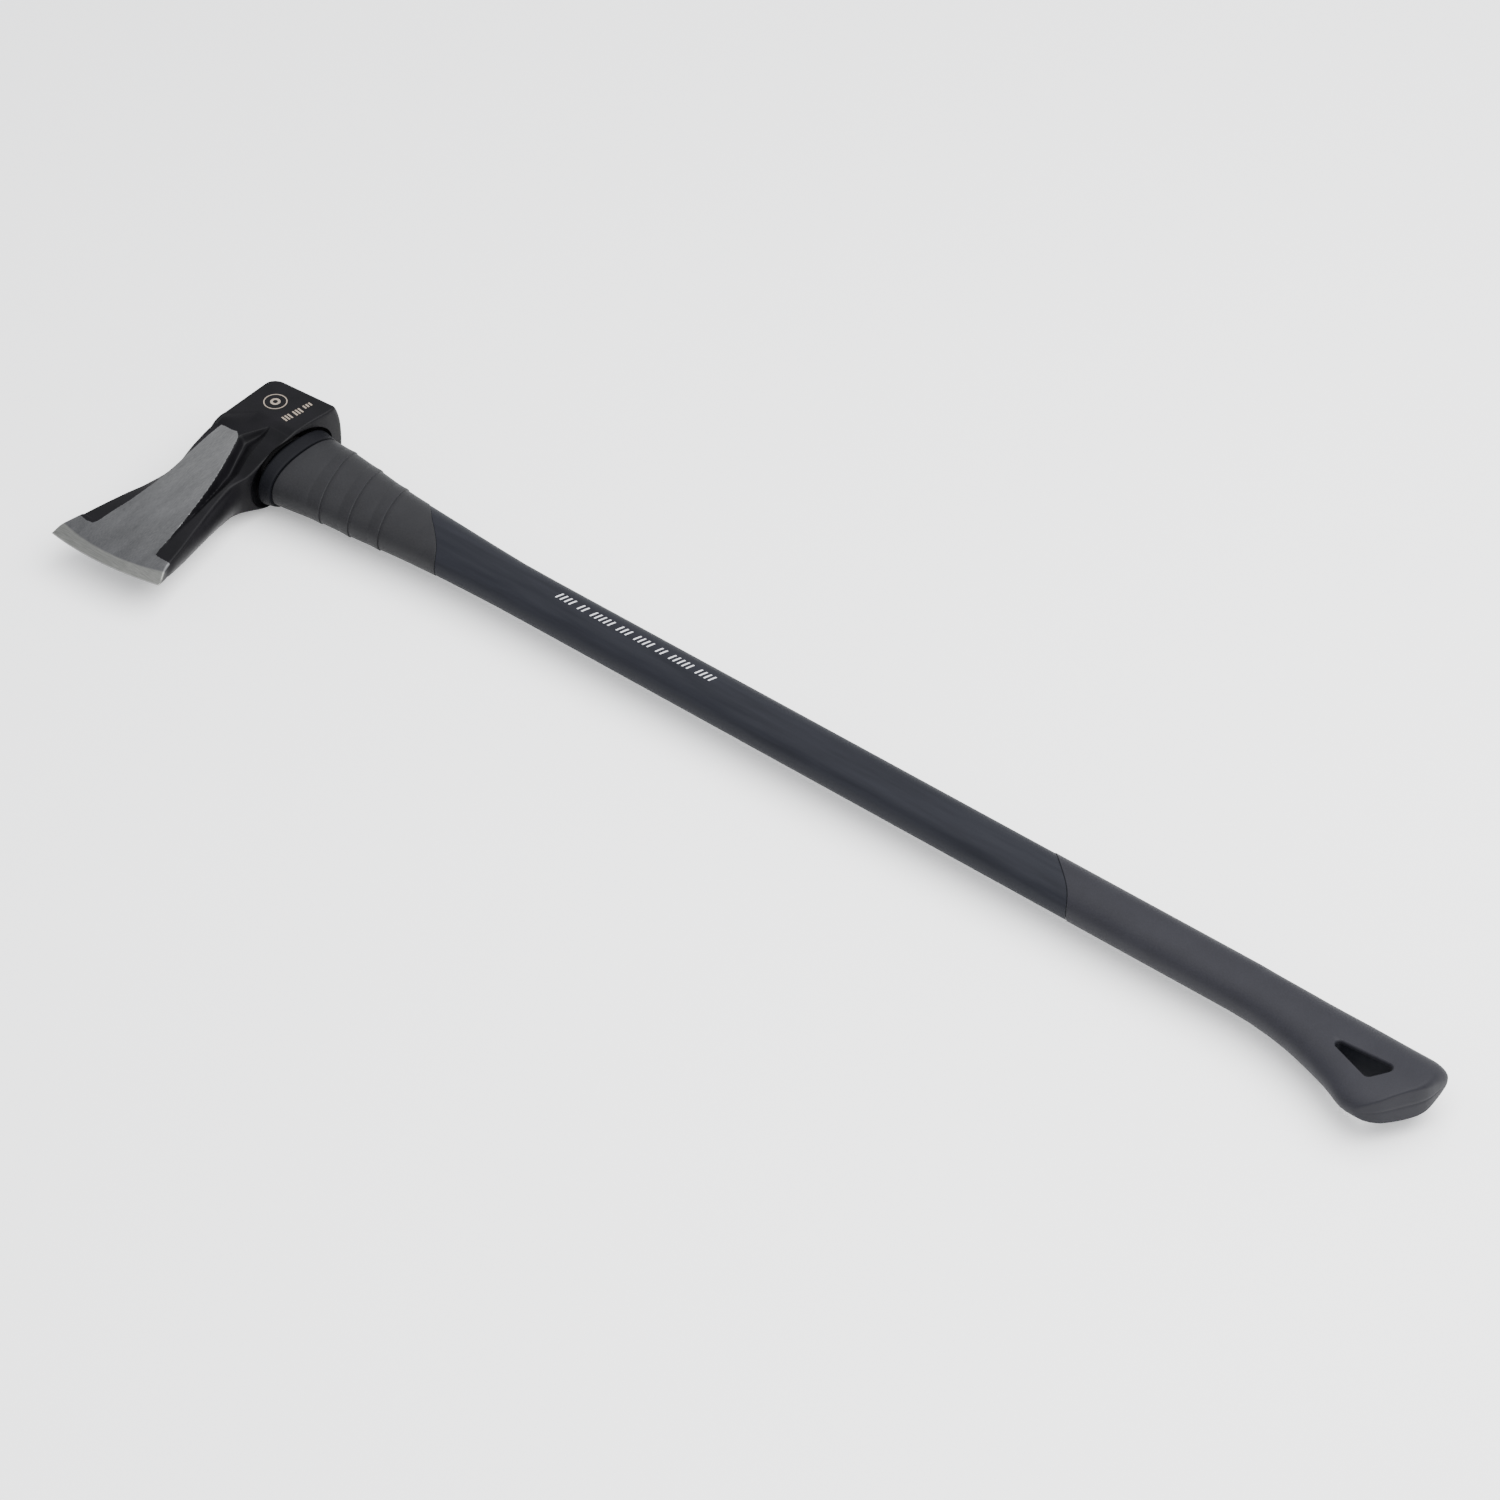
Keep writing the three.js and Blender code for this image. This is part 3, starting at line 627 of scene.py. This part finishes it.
def make_shaft():
    """The jacket: tongue in the eye, waist under the guard, bare shaft and the part under the grip."""
    under = -SKIN - GAP
    rings = [bar(x, TONGUE) for x in (CORE_START_X, 30, SHOULDER_X)]
    rings += [ring(x, under) for x in (WAIST_X,) + NECK_STATIONS]
    rings += [ring(GUARD_END_X, grow, lambda y: sleeve_sweep(y) + GAP) for grow in (under, -BARE_INSET)]
    rings += [ring(x, -BARE_INSET) for x in np.linspace(175, 575, 17)]
    rings += [ring(GRIP_START_X, grow, lambda y: sleeve_sweep(y) - GAP) for grow in (-BARE_INSET, under)]
    rings += [ring(x, under) for x in (650, 700) + BUTT_STATIONS]
    last = BUTT_STATIONS[-1]
    rings.append(ring(last, under, lambda y: butt_end(y) - last - JACKET_END_SETBACK))
    shaft = loft("shaft", rings)
    cut(shaft, hole_tool(HOLE_CLEARANCE))
    core_size = ((core_high.y - core_low.y) / 2 / MM, (core_high.z - core_low.z) / 2 / MM)
    core_end = (core_high.x - ORIGIN.x) / MM
    cut(shaft, loft("core_tool", [bar(x, core_size, GAP) for x in (CORE_START_X - 5, core_end + GAP)]))
    return shaft


def guard_steps():
    """(x, growth) along the guard: its rounded lip, a plain stretch, and the wraps."""
    steps = []
    for angle in np.radians(np.arange(90, -1, -15)):
        x = SHOULDER_X + GUARD_LIP * (1 - math.sin(angle))
        steps.append((x, -GUARD_LIP * (1 - math.cos(angle))))
    steps += [(40, 0), (46, 0), (50, 0)]
    for line in WRAP_LINES_X:
        steps += [(line + along, growth) for along, growth in WRAP_PROFILE]
    return steps


def make_guard():
    steps = guard_steps()
    last = steps[-1][0]

    def tilted(x):
        strength = ramp(x, SHOULDER_X, WRAP_LINES_X[0])
        return lambda y: -WRAP_TILT * strength * y

    def toward_end(share, setback=0.0):
        """From the last wrap's tilt to the swept end of the sleeve."""
        def sweep(y):
            finish = GUARD_END_X + sleeve_sweep(y) - last
            return -WRAP_TILT * y * (1 - share) + finish * share - setback
        return sweep

    outer = [ring(x, growth, tilted(x)) for x, growth in steps]
    outer += [ring(last, 0, toward_end(share)) for share in (0.25, 0.5, 0.75, 0.9)]
    for angle in np.radians(np.arange(0, 91, 18)):
        setback = SLEEVE_RIM * (1 - math.sin(angle))
        outer.append(ring(last, -SLEEVE_RIM * (1 - math.cos(angle)), toward_end(1, setback)))
    inner = [ring(x, -SKIN) for x in (WAIST_X,) + NECK_STATIONS]
    inner += [ring(last, -SKIN, toward_end(share)) for share in (0.8, 1)]
    return hollow_loft("guard", outer, inner, 30)


def grip_body():
    """Rings from the grip's swept start to where the butt's end begins to shape them."""
    rings = [ring(GRIP_START_X, -SKIN - 2, sleeve_sweep)]
    for part in np.sin(np.radians(np.arange(0, 91, 18))):
        edge = SLEEVE_RIM * part
        rings.append(ring(GRIP_START_X, edge - SLEEVE_RIM, lambda y, e=edge: sleeve_sweep(y) + e))
    for along, share in GRIP_STRAIGHTENING:
        rings.append(ring(GRIP_START_X + along, 0, lambda y, s=share: sleeve_sweep(y) * (1 - s)))
    rings += [ring(x) for x in np.arange(680, 770, 15)]
    rings += [ring(x) for x in np.arange(770, 812, 7)]
    return rings


def grip_butt(base=800.0):
    """Rings from base to the end face, round its edge and inwards to its middle."""
    rings = []
    for share in np.linspace(0.1, 0.92, 10):
        rings.append(ring(base, 0, lambda y, s=share: s * (butt_end(y) - butt_rounding(y) - base)))
    full = ring(base, 0, lambda y: butt_end(y) - base)
    radius = butt_rounding(full[:, 1])
    middle = float(centre_y(BUTT_MIDDLE_X))
    for angle in np.radians(np.linspace(0, 90, 10)):
        inset = radius * (1 - math.cos(angle))
        side_inset = np.minimum(radius, BUTT_SIDE_ROUNDING) * (1 - math.cos(angle))
        y = middle + (full[:, 1] - middle) * (1 - side_inset / BUTT_HALF_WIDTH)
        z = full[:, 2] * (1 - inset / BUTT_HALF_DEPTH)
        rings.append(np.stack([butt_end(y) - radius * (1 - math.sin(angle)), y, z], 1))
    x, y, z = rings[-1].T
    for share, bow in BUTT_BOW:
        rings.append(np.stack([x + bow * np.abs(z) / 10, y, z * share], 1))
    return rings


def make_grip():
    grip = loft("grip", grip_body() + grip_butt(), smooth_angle=RUBBER_SMOOTH_ANGLE)
    hollow = [ring(x, -SKIN) for x in (590, 640, 700) + BUTT_STATIONS]
    last = BUTT_STATIONS[-1]
    hollow.append(ring(last, -SKIN, lambda y: butt_end(y) - last - GRIP_HOLLOW_SETBACK))
    cut(grip, loft("hollow_tool", hollow), RUBBER_SMOOTH_ANGLE)
    cut(grip, hole_tool(), RUBBER_SMOOTH_ANGLE)
    return grip


def hole_outline(grow, steps=10):
    """The rounded three-cornered outline, grown all round."""
    points = []
    for i, (x, y, radius) in enumerate(HOLE_CORNERS):
        before = HOLE_CORNERS[i - 1]
        after = HOLE_CORNERS[(i + 1) % 3]
        start = math.atan2(y - before[1], x - before[0]) - math.pi / 2
        end = math.atan2(after[1] - y, after[0] - x) - math.pi / 2
        if end < start:
            end += 2 * math.pi
        reach = radius + grow
        for angle in np.linspace(start, end, steps + 1):
            points.append((x + reach * math.cos(angle), y + reach * math.sin(angle)))
    return points


def hole_tool(grow=0.0):
    """The hanging hole, opening out a little at both faces."""
    face = float(half_depth(HOLE_X))
    levels = [(face + height, flare) for height, flare in HOLE_FLARE]
    levels += [(-z, flare) for z, flare in levels[::-1]]
    rings = []
    for z, flare in levels:
        rings.append(np.array([(x, y, z) for x, y in hole_outline(flare + grow)]))
    return loft("hole_tool", rings)


def make_collar():
    outer = []
    for x, width, depth in COLLAR_PROFILE:
        outer.append(bar(x, (COLLAR_TRIM * width, depth)) - np.array([0, COLLAR_SHIFT * width, 0]))
    inner = [bar(x, TONGUE, GAP) for x in (COLLAR_PROFILE[0][0], COLLAR_PROFILE[-1][0])]
    return hollow_loft("collar", outer, inner, RUBBER_SMOOTH_ANGLE)


# ---------------------------------------------------------------- printed marks
# heights of the printed film's two sides over the surface that it lies on
PRINT_UNDER = 0.006
PRINT_TOP = 0.034
# centre of the rings on the cheek, then outer and inner radius of each
RING_CENTRE = (-6, 18.4)
RINGS = ((7.4, 6.7), (3.2, 1.6))
# the fine bars beside them: where the row starts, the directions along and across it, a bar's width, the
# spacing of bars and of groups, and each group's height
FINE_START = np.array([7.4, 9.2])
FINE_ALONG = np.array([0.137, 0.99])
FINE_ACROSS = np.array([0.99, -0.137])
FINE_WIDTH = 1.2
FINE_STEP = 2.2
FINE_GROUP_STEP = 8.2
FINE_HEIGHTS = (5, 5, 3.4)
# the slanted bars on the shaft: where the row starts, its y range, a bar's width and lean, and the groups
SLANT_START_X = 237.0
SLANT_Y = (-1.2, 4.2)
SLANT_WIDTH = 1.1
SLANT_LEAN = 1.6
SLANT_STEP = 3.4
SLANT_GROUP_GAP = 3.2
SLANT_GROUPS = (4, 2, 5, 3, 4, 2, 5, 4)


def film_grid(corners, surface, across=2, along=6):
    """A thin four-cornered film lying on surface(x, y)."""
    a, b, c, d = (np.array(corner, float) for corner in corners)
    plan = []
    for q in np.linspace(0, 1, across + 1):
        for p in np.linspace(0, 1, along + 1):
            plan.append((a * (1 - p) + b * p) * (1 - q) + (d * (1 - p) + c * p) * q)
    points = [(x, y, surface(x, y) + lift) for lift in (PRINT_TOP, PRINT_UNDER) for x, y in plan]
    wide = along + 1
    half = len(plan)
    faces = []
    for r in range(across):
        for k in range(along):
            i = r * wide + k
            faces.append((i, i + 1, i + 1 + wide, i + wide))
            faces.append((half + i, half + i + wide, half + i + 1 + wide, half + i + 1))
    rim = list(range(wide)) + [r * wide + along for r in range(1, across + 1)]
    rim += [across * wide + k for k in range(along - 1, -1, -1)]
    rim += [r * wide for r in range(across - 1, 0, -1)]
    for i, j in zip(rim, rim[1:] + rim[:1]):
        faces.append((i, half + i, half + j, j))
    return points, faces


def film_ring(centre, outer, inner, surface, count=48):
    """A thin flat ring lying on surface(x, y)."""
    angles = 2 * math.pi * np.arange(count) / count
    points = []
    for radius, lift in ((outer, PRINT_UNDER), (outer, PRINT_TOP), (inner, PRINT_TOP), (inner, PRINT_UNDER)):
        x = centre[0] + radius * np.cos(angles)
        y = centre[1] + radius * np.sin(angles)
        points += [(px, py, surface(px, py) + lift) for px, py in zip(x, y)]
    return points + points[:count], loop_faces(5, count)


def make_print(name, parts):
    """Joins films into one piece."""
    points = []
    faces = []
    for part_points, part_faces in parts:
        faces += [tuple(i + len(points) for i in face) for face in part_faces]
        points += part_points
    return new_object(name, points, faces, 30)


def make_head_print():
    """Two plain rings, and a row of fine bars beside them."""
    def cheek(x, y):
        return HALF_THICKNESS

    parts = [film_ring(RING_CENTRE, outer, inner, cheek) for outer, inner in RINGS]
    for group, height in enumerate(FINE_HEIGHTS):
        for k in range(3):
            low = FINE_START + FINE_ALONG * (group * FINE_GROUP_STEP + k * FINE_STEP)
            high = low + FINE_ALONG * FINE_WIDTH
            up = FINE_ACROSS * height
            parts.append(film_grid((low, high, high + up, low + up), cheek))
    return make_print("head_print", parts)


def make_shaft_print():
    """A row of plain slanted bars along the top of the shaft."""
    def shaft_top(x, y):
        width = half_width(x) - BARE_INSET
        depth = half_depth(x) - BARE_INSET
        return depth * (1 - abs(y / width) ** SECTION_POWER) ** (1 / SECTION_POWER)

    low, high = SLANT_Y
    parts = []
    x = SLANT_START_X
    for count in SLANT_GROUPS:
        for _ in range(count):
            top = x + SLANT_LEAN
            corners = ((x, low), (top, high), (top + SLANT_WIDTH, high), (x + SLANT_WIDTH, low))
            parts.append(film_grid(corners, shaft_top, 1, 8))
            x += SLANT_STEP
        x += SLANT_GROUP_GAP
    return make_print("shaft_print", parts)


# ---------------------------------------------------------------- materials
def srgb(r, g, b):
    """A colour given in 8-bit display values, as linear light."""
    def linear(c):
        c /= 255
        return c / 12.92 if c <= 0.04045 else ((c + 0.055) / 1.055) ** 2.4

    return (linear(r), linear(g), linear(b), 1.0)


class Nodes:
    """Short calls for building a material's node tree."""

    def __init__(self, name):
        self.material = bpy.data.materials.new(name)
        self.material.use_nodes = True
        self.tree = self.material.node_tree
        self.shader = self.tree.nodes["Principled BSDF"]

    def add(self, kind, **settings):
        node = self.tree.nodes.new(kind)
        for key, value in settings.items():
            setattr(node, key, value)
        return node

    def link(self, source, target):
        self.tree.links.new(source, target)

    def feed(self, socket, value):
        """Sets a plain value on the socket, or links an output to it."""
        if isinstance(value, (int, float, tuple)):
            socket.default_value = value
        else:
            self.link(value, socket)

    def coordinates(self, scale=(1, 1, 1)):
        source = self.add("ShaderNodeTexCoord")
        mapping = self.add("ShaderNodeMapping")
        mapping.inputs["Scale"].default_value = scale
        self.link(source.outputs["Object"], mapping.inputs["Vector"])
        return mapping.outputs["Vector"]

    def noise(self, vector, scale, detail=3.0, roughness=0.55):
        node = self.add("ShaderNodeTexNoise")
        node.inputs["Scale"].default_value = scale
        node.inputs["Detail"].default_value = detail
        node.inputs["Roughness"].default_value = roughness
        self.link(vector, node.inputs["Vector"])
        return node.outputs["Fac"]

    def attribute(self, name):
        return self.add("ShaderNodeAttribute", attribute_name=name).outputs["Fac"]

    def math(self, operation, a, b):
        node = self.add("ShaderNodeMath", operation=operation)
        self.feed(node.inputs[0], a)
        self.feed(node.inputs[1], b)
        return node.outputs[0]

    def fit(self, value, low, high, to_low=0.0, to_high=1.0):
        """Maps value's range low to high onto to_low to to_high, and no further."""
        node = self.add("ShaderNodeMapRange")
        for key, number in zip(("From Min", "From Max", "To Min", "To Max"), (low, high, to_low, to_high)):
            node.inputs[key].default_value = number
        self.link(value, node.inputs["Value"])
        return node.outputs["Result"]

    def mix(self, factor, a, b):
        """A colour between a and b."""
        node = self.add("ShaderNodeMix", data_type="RGBA")
        self.link(factor, node.inputs[0])
        self.feed(node.inputs[6], a)
        self.feed(node.inputs[7], b)
        return node.outputs[2]

    def blend(self, factor, a, b):
        """A plain number between a and b."""
        node = self.add("ShaderNodeMix", data_type="FLOAT")
        self.link(factor, node.inputs[0])
        self.feed(node.inputs[2], a)
        self.feed(node.inputs[3], b)
        return node.outputs[0]

    def bump(self, height, distance, strength):
        node = self.add("ShaderNodeBump")
        node.inputs["Strength"].default_value = strength
        node.inputs["Distance"].default_value = distance
        self.link(height, node.inputs["Height"])
        return node.outputs["Normal"]

    def finish(self, color, roughness, normal=None, metallic=None, **constants):
        sockets = self.shader.inputs
        self.feed(sockets["Base Color"], color)
        self.feed(sockets["Roughness"], roughness)
        if normal is not None:
            self.link(normal, sockets["Normal"])
        if metallic is not None:
            self.link(metallic, sockets["Metallic"])
        for key, value in constants.items():
            sockets[key.replace("_", " ")].default_value = value
        return self.material


def ground_steel(n, plain, fine, broad):
    """Colour of the ground face, lighter away from the edge as painted reflection, and below it of the honed
    bevel with a painted highlight along its lip.
    """
    edge = n.attribute("edge")
    cloud = n.noise(plain, 28, 2)
    steel_low = n.mix(n.fit(fine, 0.3, 0.7), srgb(68, 68, 69), srgb(92, 92, 93))
    steel_high = n.mix(n.fit(fine, 0.3, 0.7), srgb(100, 100, 100), srgb(126, 126, 125))
    # painted reflection: the ground steel is made lighter the further it lies from the edge
    steel_painted_reflection = n.mix(n.fit(edge, 8, 105), steel_low, steel_high)
    streaked = n.mix(n.fit(broad, 0.3, 0.7), srgb(88, 88, 90), srgb(106, 106, 108))
    steel = n.mix(n.fit(cloud, 0.3, 0.7, 0.2, 0.45), steel_painted_reflection, streaked)
    hone = n.noise(n.coordinates((0.05, 1, 1)), 2400, 2, 0.6)
    honed = n.mix(n.fit(hone, 0.3, 0.7), srgb(104, 105, 102), srgb(126, 126, 123))
    # painted highlight: steel within about a millimetre of the edge turns bright, standing in for the edge
    # catching the light
    honed = n.mix(n.fit(edge, 0.9, 0.35), honed, srgb(150, 150, 148))
    return n.mix(n.fit(n.attribute("bevel"), -0.06, 0.06), steel, honed)


def head_material():
    """Dark enamel with bare ground steel: masks come from distances stored on the mesh."""
    n = Nodes("head_enamel_and_steel")
    plain = n.coordinates()
    jag = n.fit(n.noise(plain, 900, 2), 0, 1, -0.45, 0.45)
    bare = n.fit(n.math("ADD", n.attribute("ground"), jag), -0.08, 0.08)
    bare = n.math("MULTIPLY", bare, n.fit(n.attribute("flank"), 1.2, 0.8))
    fine = n.noise(n.coordinates((1, 0.035, 1)), 2600, 3, 0.6)
    broad = n.noise(n.coordinates((1, 0.12, 1)), 160, 3)
    patches = n.noise(plain, 60, 3)
    paint = n.mix(n.fit(patches, 0.3, 0.7), srgb(9, 9, 11), srgb(15, 14, 17))
    color = n.mix(bare, paint, ground_steel(n, plain, fine, broad))
    paint_roughness = n.fit(patches, 0.3, 0.7, 0.4, 0.5)
    steel_roughness = n.fit(broad, 0.3, 0.7, 0.42, 0.52)
    roughness = n.blend(bare, paint_roughness, steel_roughness)

    orange_peel = n.noise(plain, 1500, 2)
    pits = n.noise(plain, 420, 3)
    paint_relief = n.math("MULTIPLY", n.math("ADD", n.math("MULTIPLY", orange_peel, 0.4), pits), 0.6)
    steel_relief = n.math("MULTIPLY", fine, 0.35)
    paint_thickness = n.math("MULTIPLY", bare, -1.2)
    height = n.math("ADD", n.blend(bare, paint_relief, steel_relief), paint_thickness)
    normal = n.bump(height, 0.00012, 0.6)
    return n.finish(color, roughness, normal, metallic=bare, IOR=1.35, Specular_IOR_Level=0.17)


def rubber_material(name, dark, light, gloss=0.35):
    """Matt rubber: clouds between two colours, with a fine grain in colour, roughness and relief."""
    n = Nodes(name)
    plain = n.coordinates()
    cloud = n.noise(plain, 45, 3)
    speck = n.noise(plain, 1400, 2, 0.6)
    base = n.mix(n.fit(cloud, 0.3, 0.7), srgb(*dark), srgb(*light))
    darker = srgb(*[c - 3 for c in dark])
    lighter = srgb(*[c + 4 for c in light])
    tint = n.mix(n.fit(speck, 0.35, 0.65), darker, lighter)
    color = n.mix(n.fit(speck, 0, 1, 0.25, 0.55), base, tint)
    roughness = n.fit(speck, 0.3, 0.7, 0.5, 0.62)
    return n.finish(color, roughness, n.bump(speck, 0.00008, 0.7), IOR=1.3, Specular_IOR_Level=gloss)


def shaft_material():
    n = Nodes("shaft_moulded_plastic")
    plain = n.coordinates()
    flow = n.coordinates((0.08, 1, 1))
    streak = n.noise(flow, 220, 3)
    fine = n.noise(plain, 1900, 2)
    base = n.mix(n.fit(streak, 0.3, 0.7), srgb(23, 24, 29), srgb(30, 31, 36))
    roughness = n.fit(streak, 0.3, 0.7, 0.5, 0.6)
    return n.finish(base, roughness, n.bump(fine, 0.00004, 0.5), IOR=1.3, Specular_IOR_Level=0.2)


def core_material():
    n = Nodes("core_glass_fibre")
    strands = n.noise(n.coordinates((0.02, 1, 1)), 900, 3)
    base = n.mix(n.fit(strands, 0.35, 0.65), srgb(176, 166, 128), srgb(214, 206, 172))
    return n.finish(base, n.fit(strands, 0.3, 0.7, 0.4, 0.6), n.bump(strands, 0.0001, 0.5))


def epoxy_material():
    n = Nodes("eye_epoxy_resin")
    cloud = n.noise(n.coordinates(), 130, 3)
    base = n.mix(n.fit(cloud, 0.3, 0.7), srgb(52, 45, 36), srgb(84, 74, 60))
    return n.finish(base, n.fit(cloud, 0.3, 0.7, 0.25, 0.4), n.bump(cloud, 0.0003, 0.5))


def print_material(name, dark, light):
    n = Nodes(name)
    wear = n.noise(n.coordinates(), 700, 3, 0.6)
    color = n.mix(n.fit(wear, 0.3, 0.7), srgb(*dark), srgb(*light))
    return n.finish(color, n.fit(wear, 0.3, 0.7, 0.5, 0.65))


def paint_over(piece, material):
    piece.data.materials.clear()
    piece.data.materials.append(material)


# ---------------------------------------------------------------- assembly
def dress(piece, material, slot, *nodes):
    """Gives a piece its material and body, and hides the CAD nodes that it stands for."""
    paint_over(piece, material)
    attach(piece, "root")
    if nodes:
        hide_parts(*nodes)


dress(make_head(), head_material(), "head", "head_forging")
dress(make_shaft(), shaft_material(), "jacket", "shaft_jacket")
collar_rubber = rubber_material("collar_rubber", (9, 10, 13), (14, 14, 18), gloss=0.17)
dress(make_collar(), collar_rubber, "collar", "shoulder_collar")
guard_rubber = rubber_material("guard_rubber", (26, 26, 28), (32, 32, 34))
dress(make_guard(), guard_rubber, "guard", "neck_guard")
grip_rubber = rubber_material("grip_rubber", (24, 24, 29), (30, 30, 35))
dress(make_grip(), grip_rubber, "grip", "grip_sleeve")
head_ink = print_material("head_print_ink", (112, 102, 92), (134, 122, 110))
dress(make_head_print(), head_ink, "head")
shaft_ink = print_material("shaft_print_ink", (176, 176, 180), (200, 200, 204))
dress(make_shaft_print(), shaft_ink, "jacket")

paint_over(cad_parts["fibreglass_core"], core_material())
paint_over(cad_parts["eye_epoxy"], epoxy_material())
paint_over(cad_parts["eye_seal"], rubber_material("seal_rubber", (26, 26, 27), (34, 34, 35)))


# ---------------------------------------------------------------- stage, light and camera, in metres
FLOOR_REACH = 6.0
FLOOR_DROP = 0.0005
LAMP_PLACE = (0.55, 0.15, 1.6)
LAMP_AIM = (0.05, 0, 0)
LAMP_SIZE = (2.6, 1.8)
LAMP_POWER = 105
CAMERA_AZIMUTH = 39.7
CAMERA_ELEVATION = 41.6
CAMERA_DISTANCE = 3.444
CAMERA_TARGET = (404.4, -22.6, 0)  # a plan point, in millimetres
CAMERA_LENS = 143.5


def make_floor():
    mesh = bpy.data.meshes.new("floor")
    corners = [(x * FLOOR_REACH, y * FLOOR_REACH, 0) for x, y in ((-1, -1), (1, -1), (1, 1), (-1, 1))]
    mesh.from_pydata(corners, [], [(0, 1, 2, 3)])
    floor = bpy.data.objects.new("floor", mesh)
    bpy.context.scene.collection.objects.link(floor)
    floor.location.z = cad_low.z - FLOOR_DROP
    n = Nodes("floor_pale")
    cloud = n.noise(n.coordinates(), 3, 2)
    color = n.mix(cloud, (0.88, 0.88, 0.88, 1), (0.92, 0.92, 0.92, 1))
    floor.data.materials.append(n.finish(color, 0.9, Emission_Color=(1, 1, 1, 1), Emission_Strength=0.3))


def make_lamp():
    """One broad soft box over the maul."""
    data = bpy.data.lights.new("overhead", "AREA")
    data.shape = "RECTANGLE"
    data.size = LAMP_SIZE[0]
    data.size_y = LAMP_SIZE[1]
    data.energy = LAMP_POWER
    lamp = bpy.data.objects.new("overhead", data)
    bpy.context.scene.collection.objects.link(lamp)
    lamp.location = LAMP_PLACE
    direction = Vector(LAMP_AIM) - Vector(LAMP_PLACE)
    lamp.rotation_euler = direction.to_track_quat("-Z", "Y").to_euler()


def make_world():
    world = bpy.data.worlds.new("studio")
    bpy.context.scene.world = world
    world.use_nodes = True
    background = world.node_tree.nodes["Background"]
    background.inputs["Color"].default_value = (0.95, 0.97, 1.0, 1)
    background.inputs["Strength"].default_value = 1.15


def make_camera():
    azimuth = math.radians(CAMERA_AZIMUTH)
    elevation = math.radians(CAMERA_ELEVATION)
    target = Vector(place([CAMERA_TARGET])[0])
    back = Vector((
        math.sin(azimuth) * math.cos(elevation),
        -math.cos(azimuth) * math.cos(elevation),
        math.sin(elevation),
    ))
    data = bpy.data.cameras.new("camera")
    data.sensor_width = 36
    data.lens = CAMERA_LENS
    data.clip_end = 50
    camera = bpy.data.objects.new("camera", data)
    bpy.context.scene.collection.objects.link(camera)
    camera.location = target + back * CAMERA_DISTANCE
    camera.rotation_mode = "QUATERNION"
    camera.rotation_quaternion = (-back).to_track_quat("-Z", "Y")
    bpy.context.scene.camera = camera


make_floor()
make_world()
make_lamp()
make_camera()
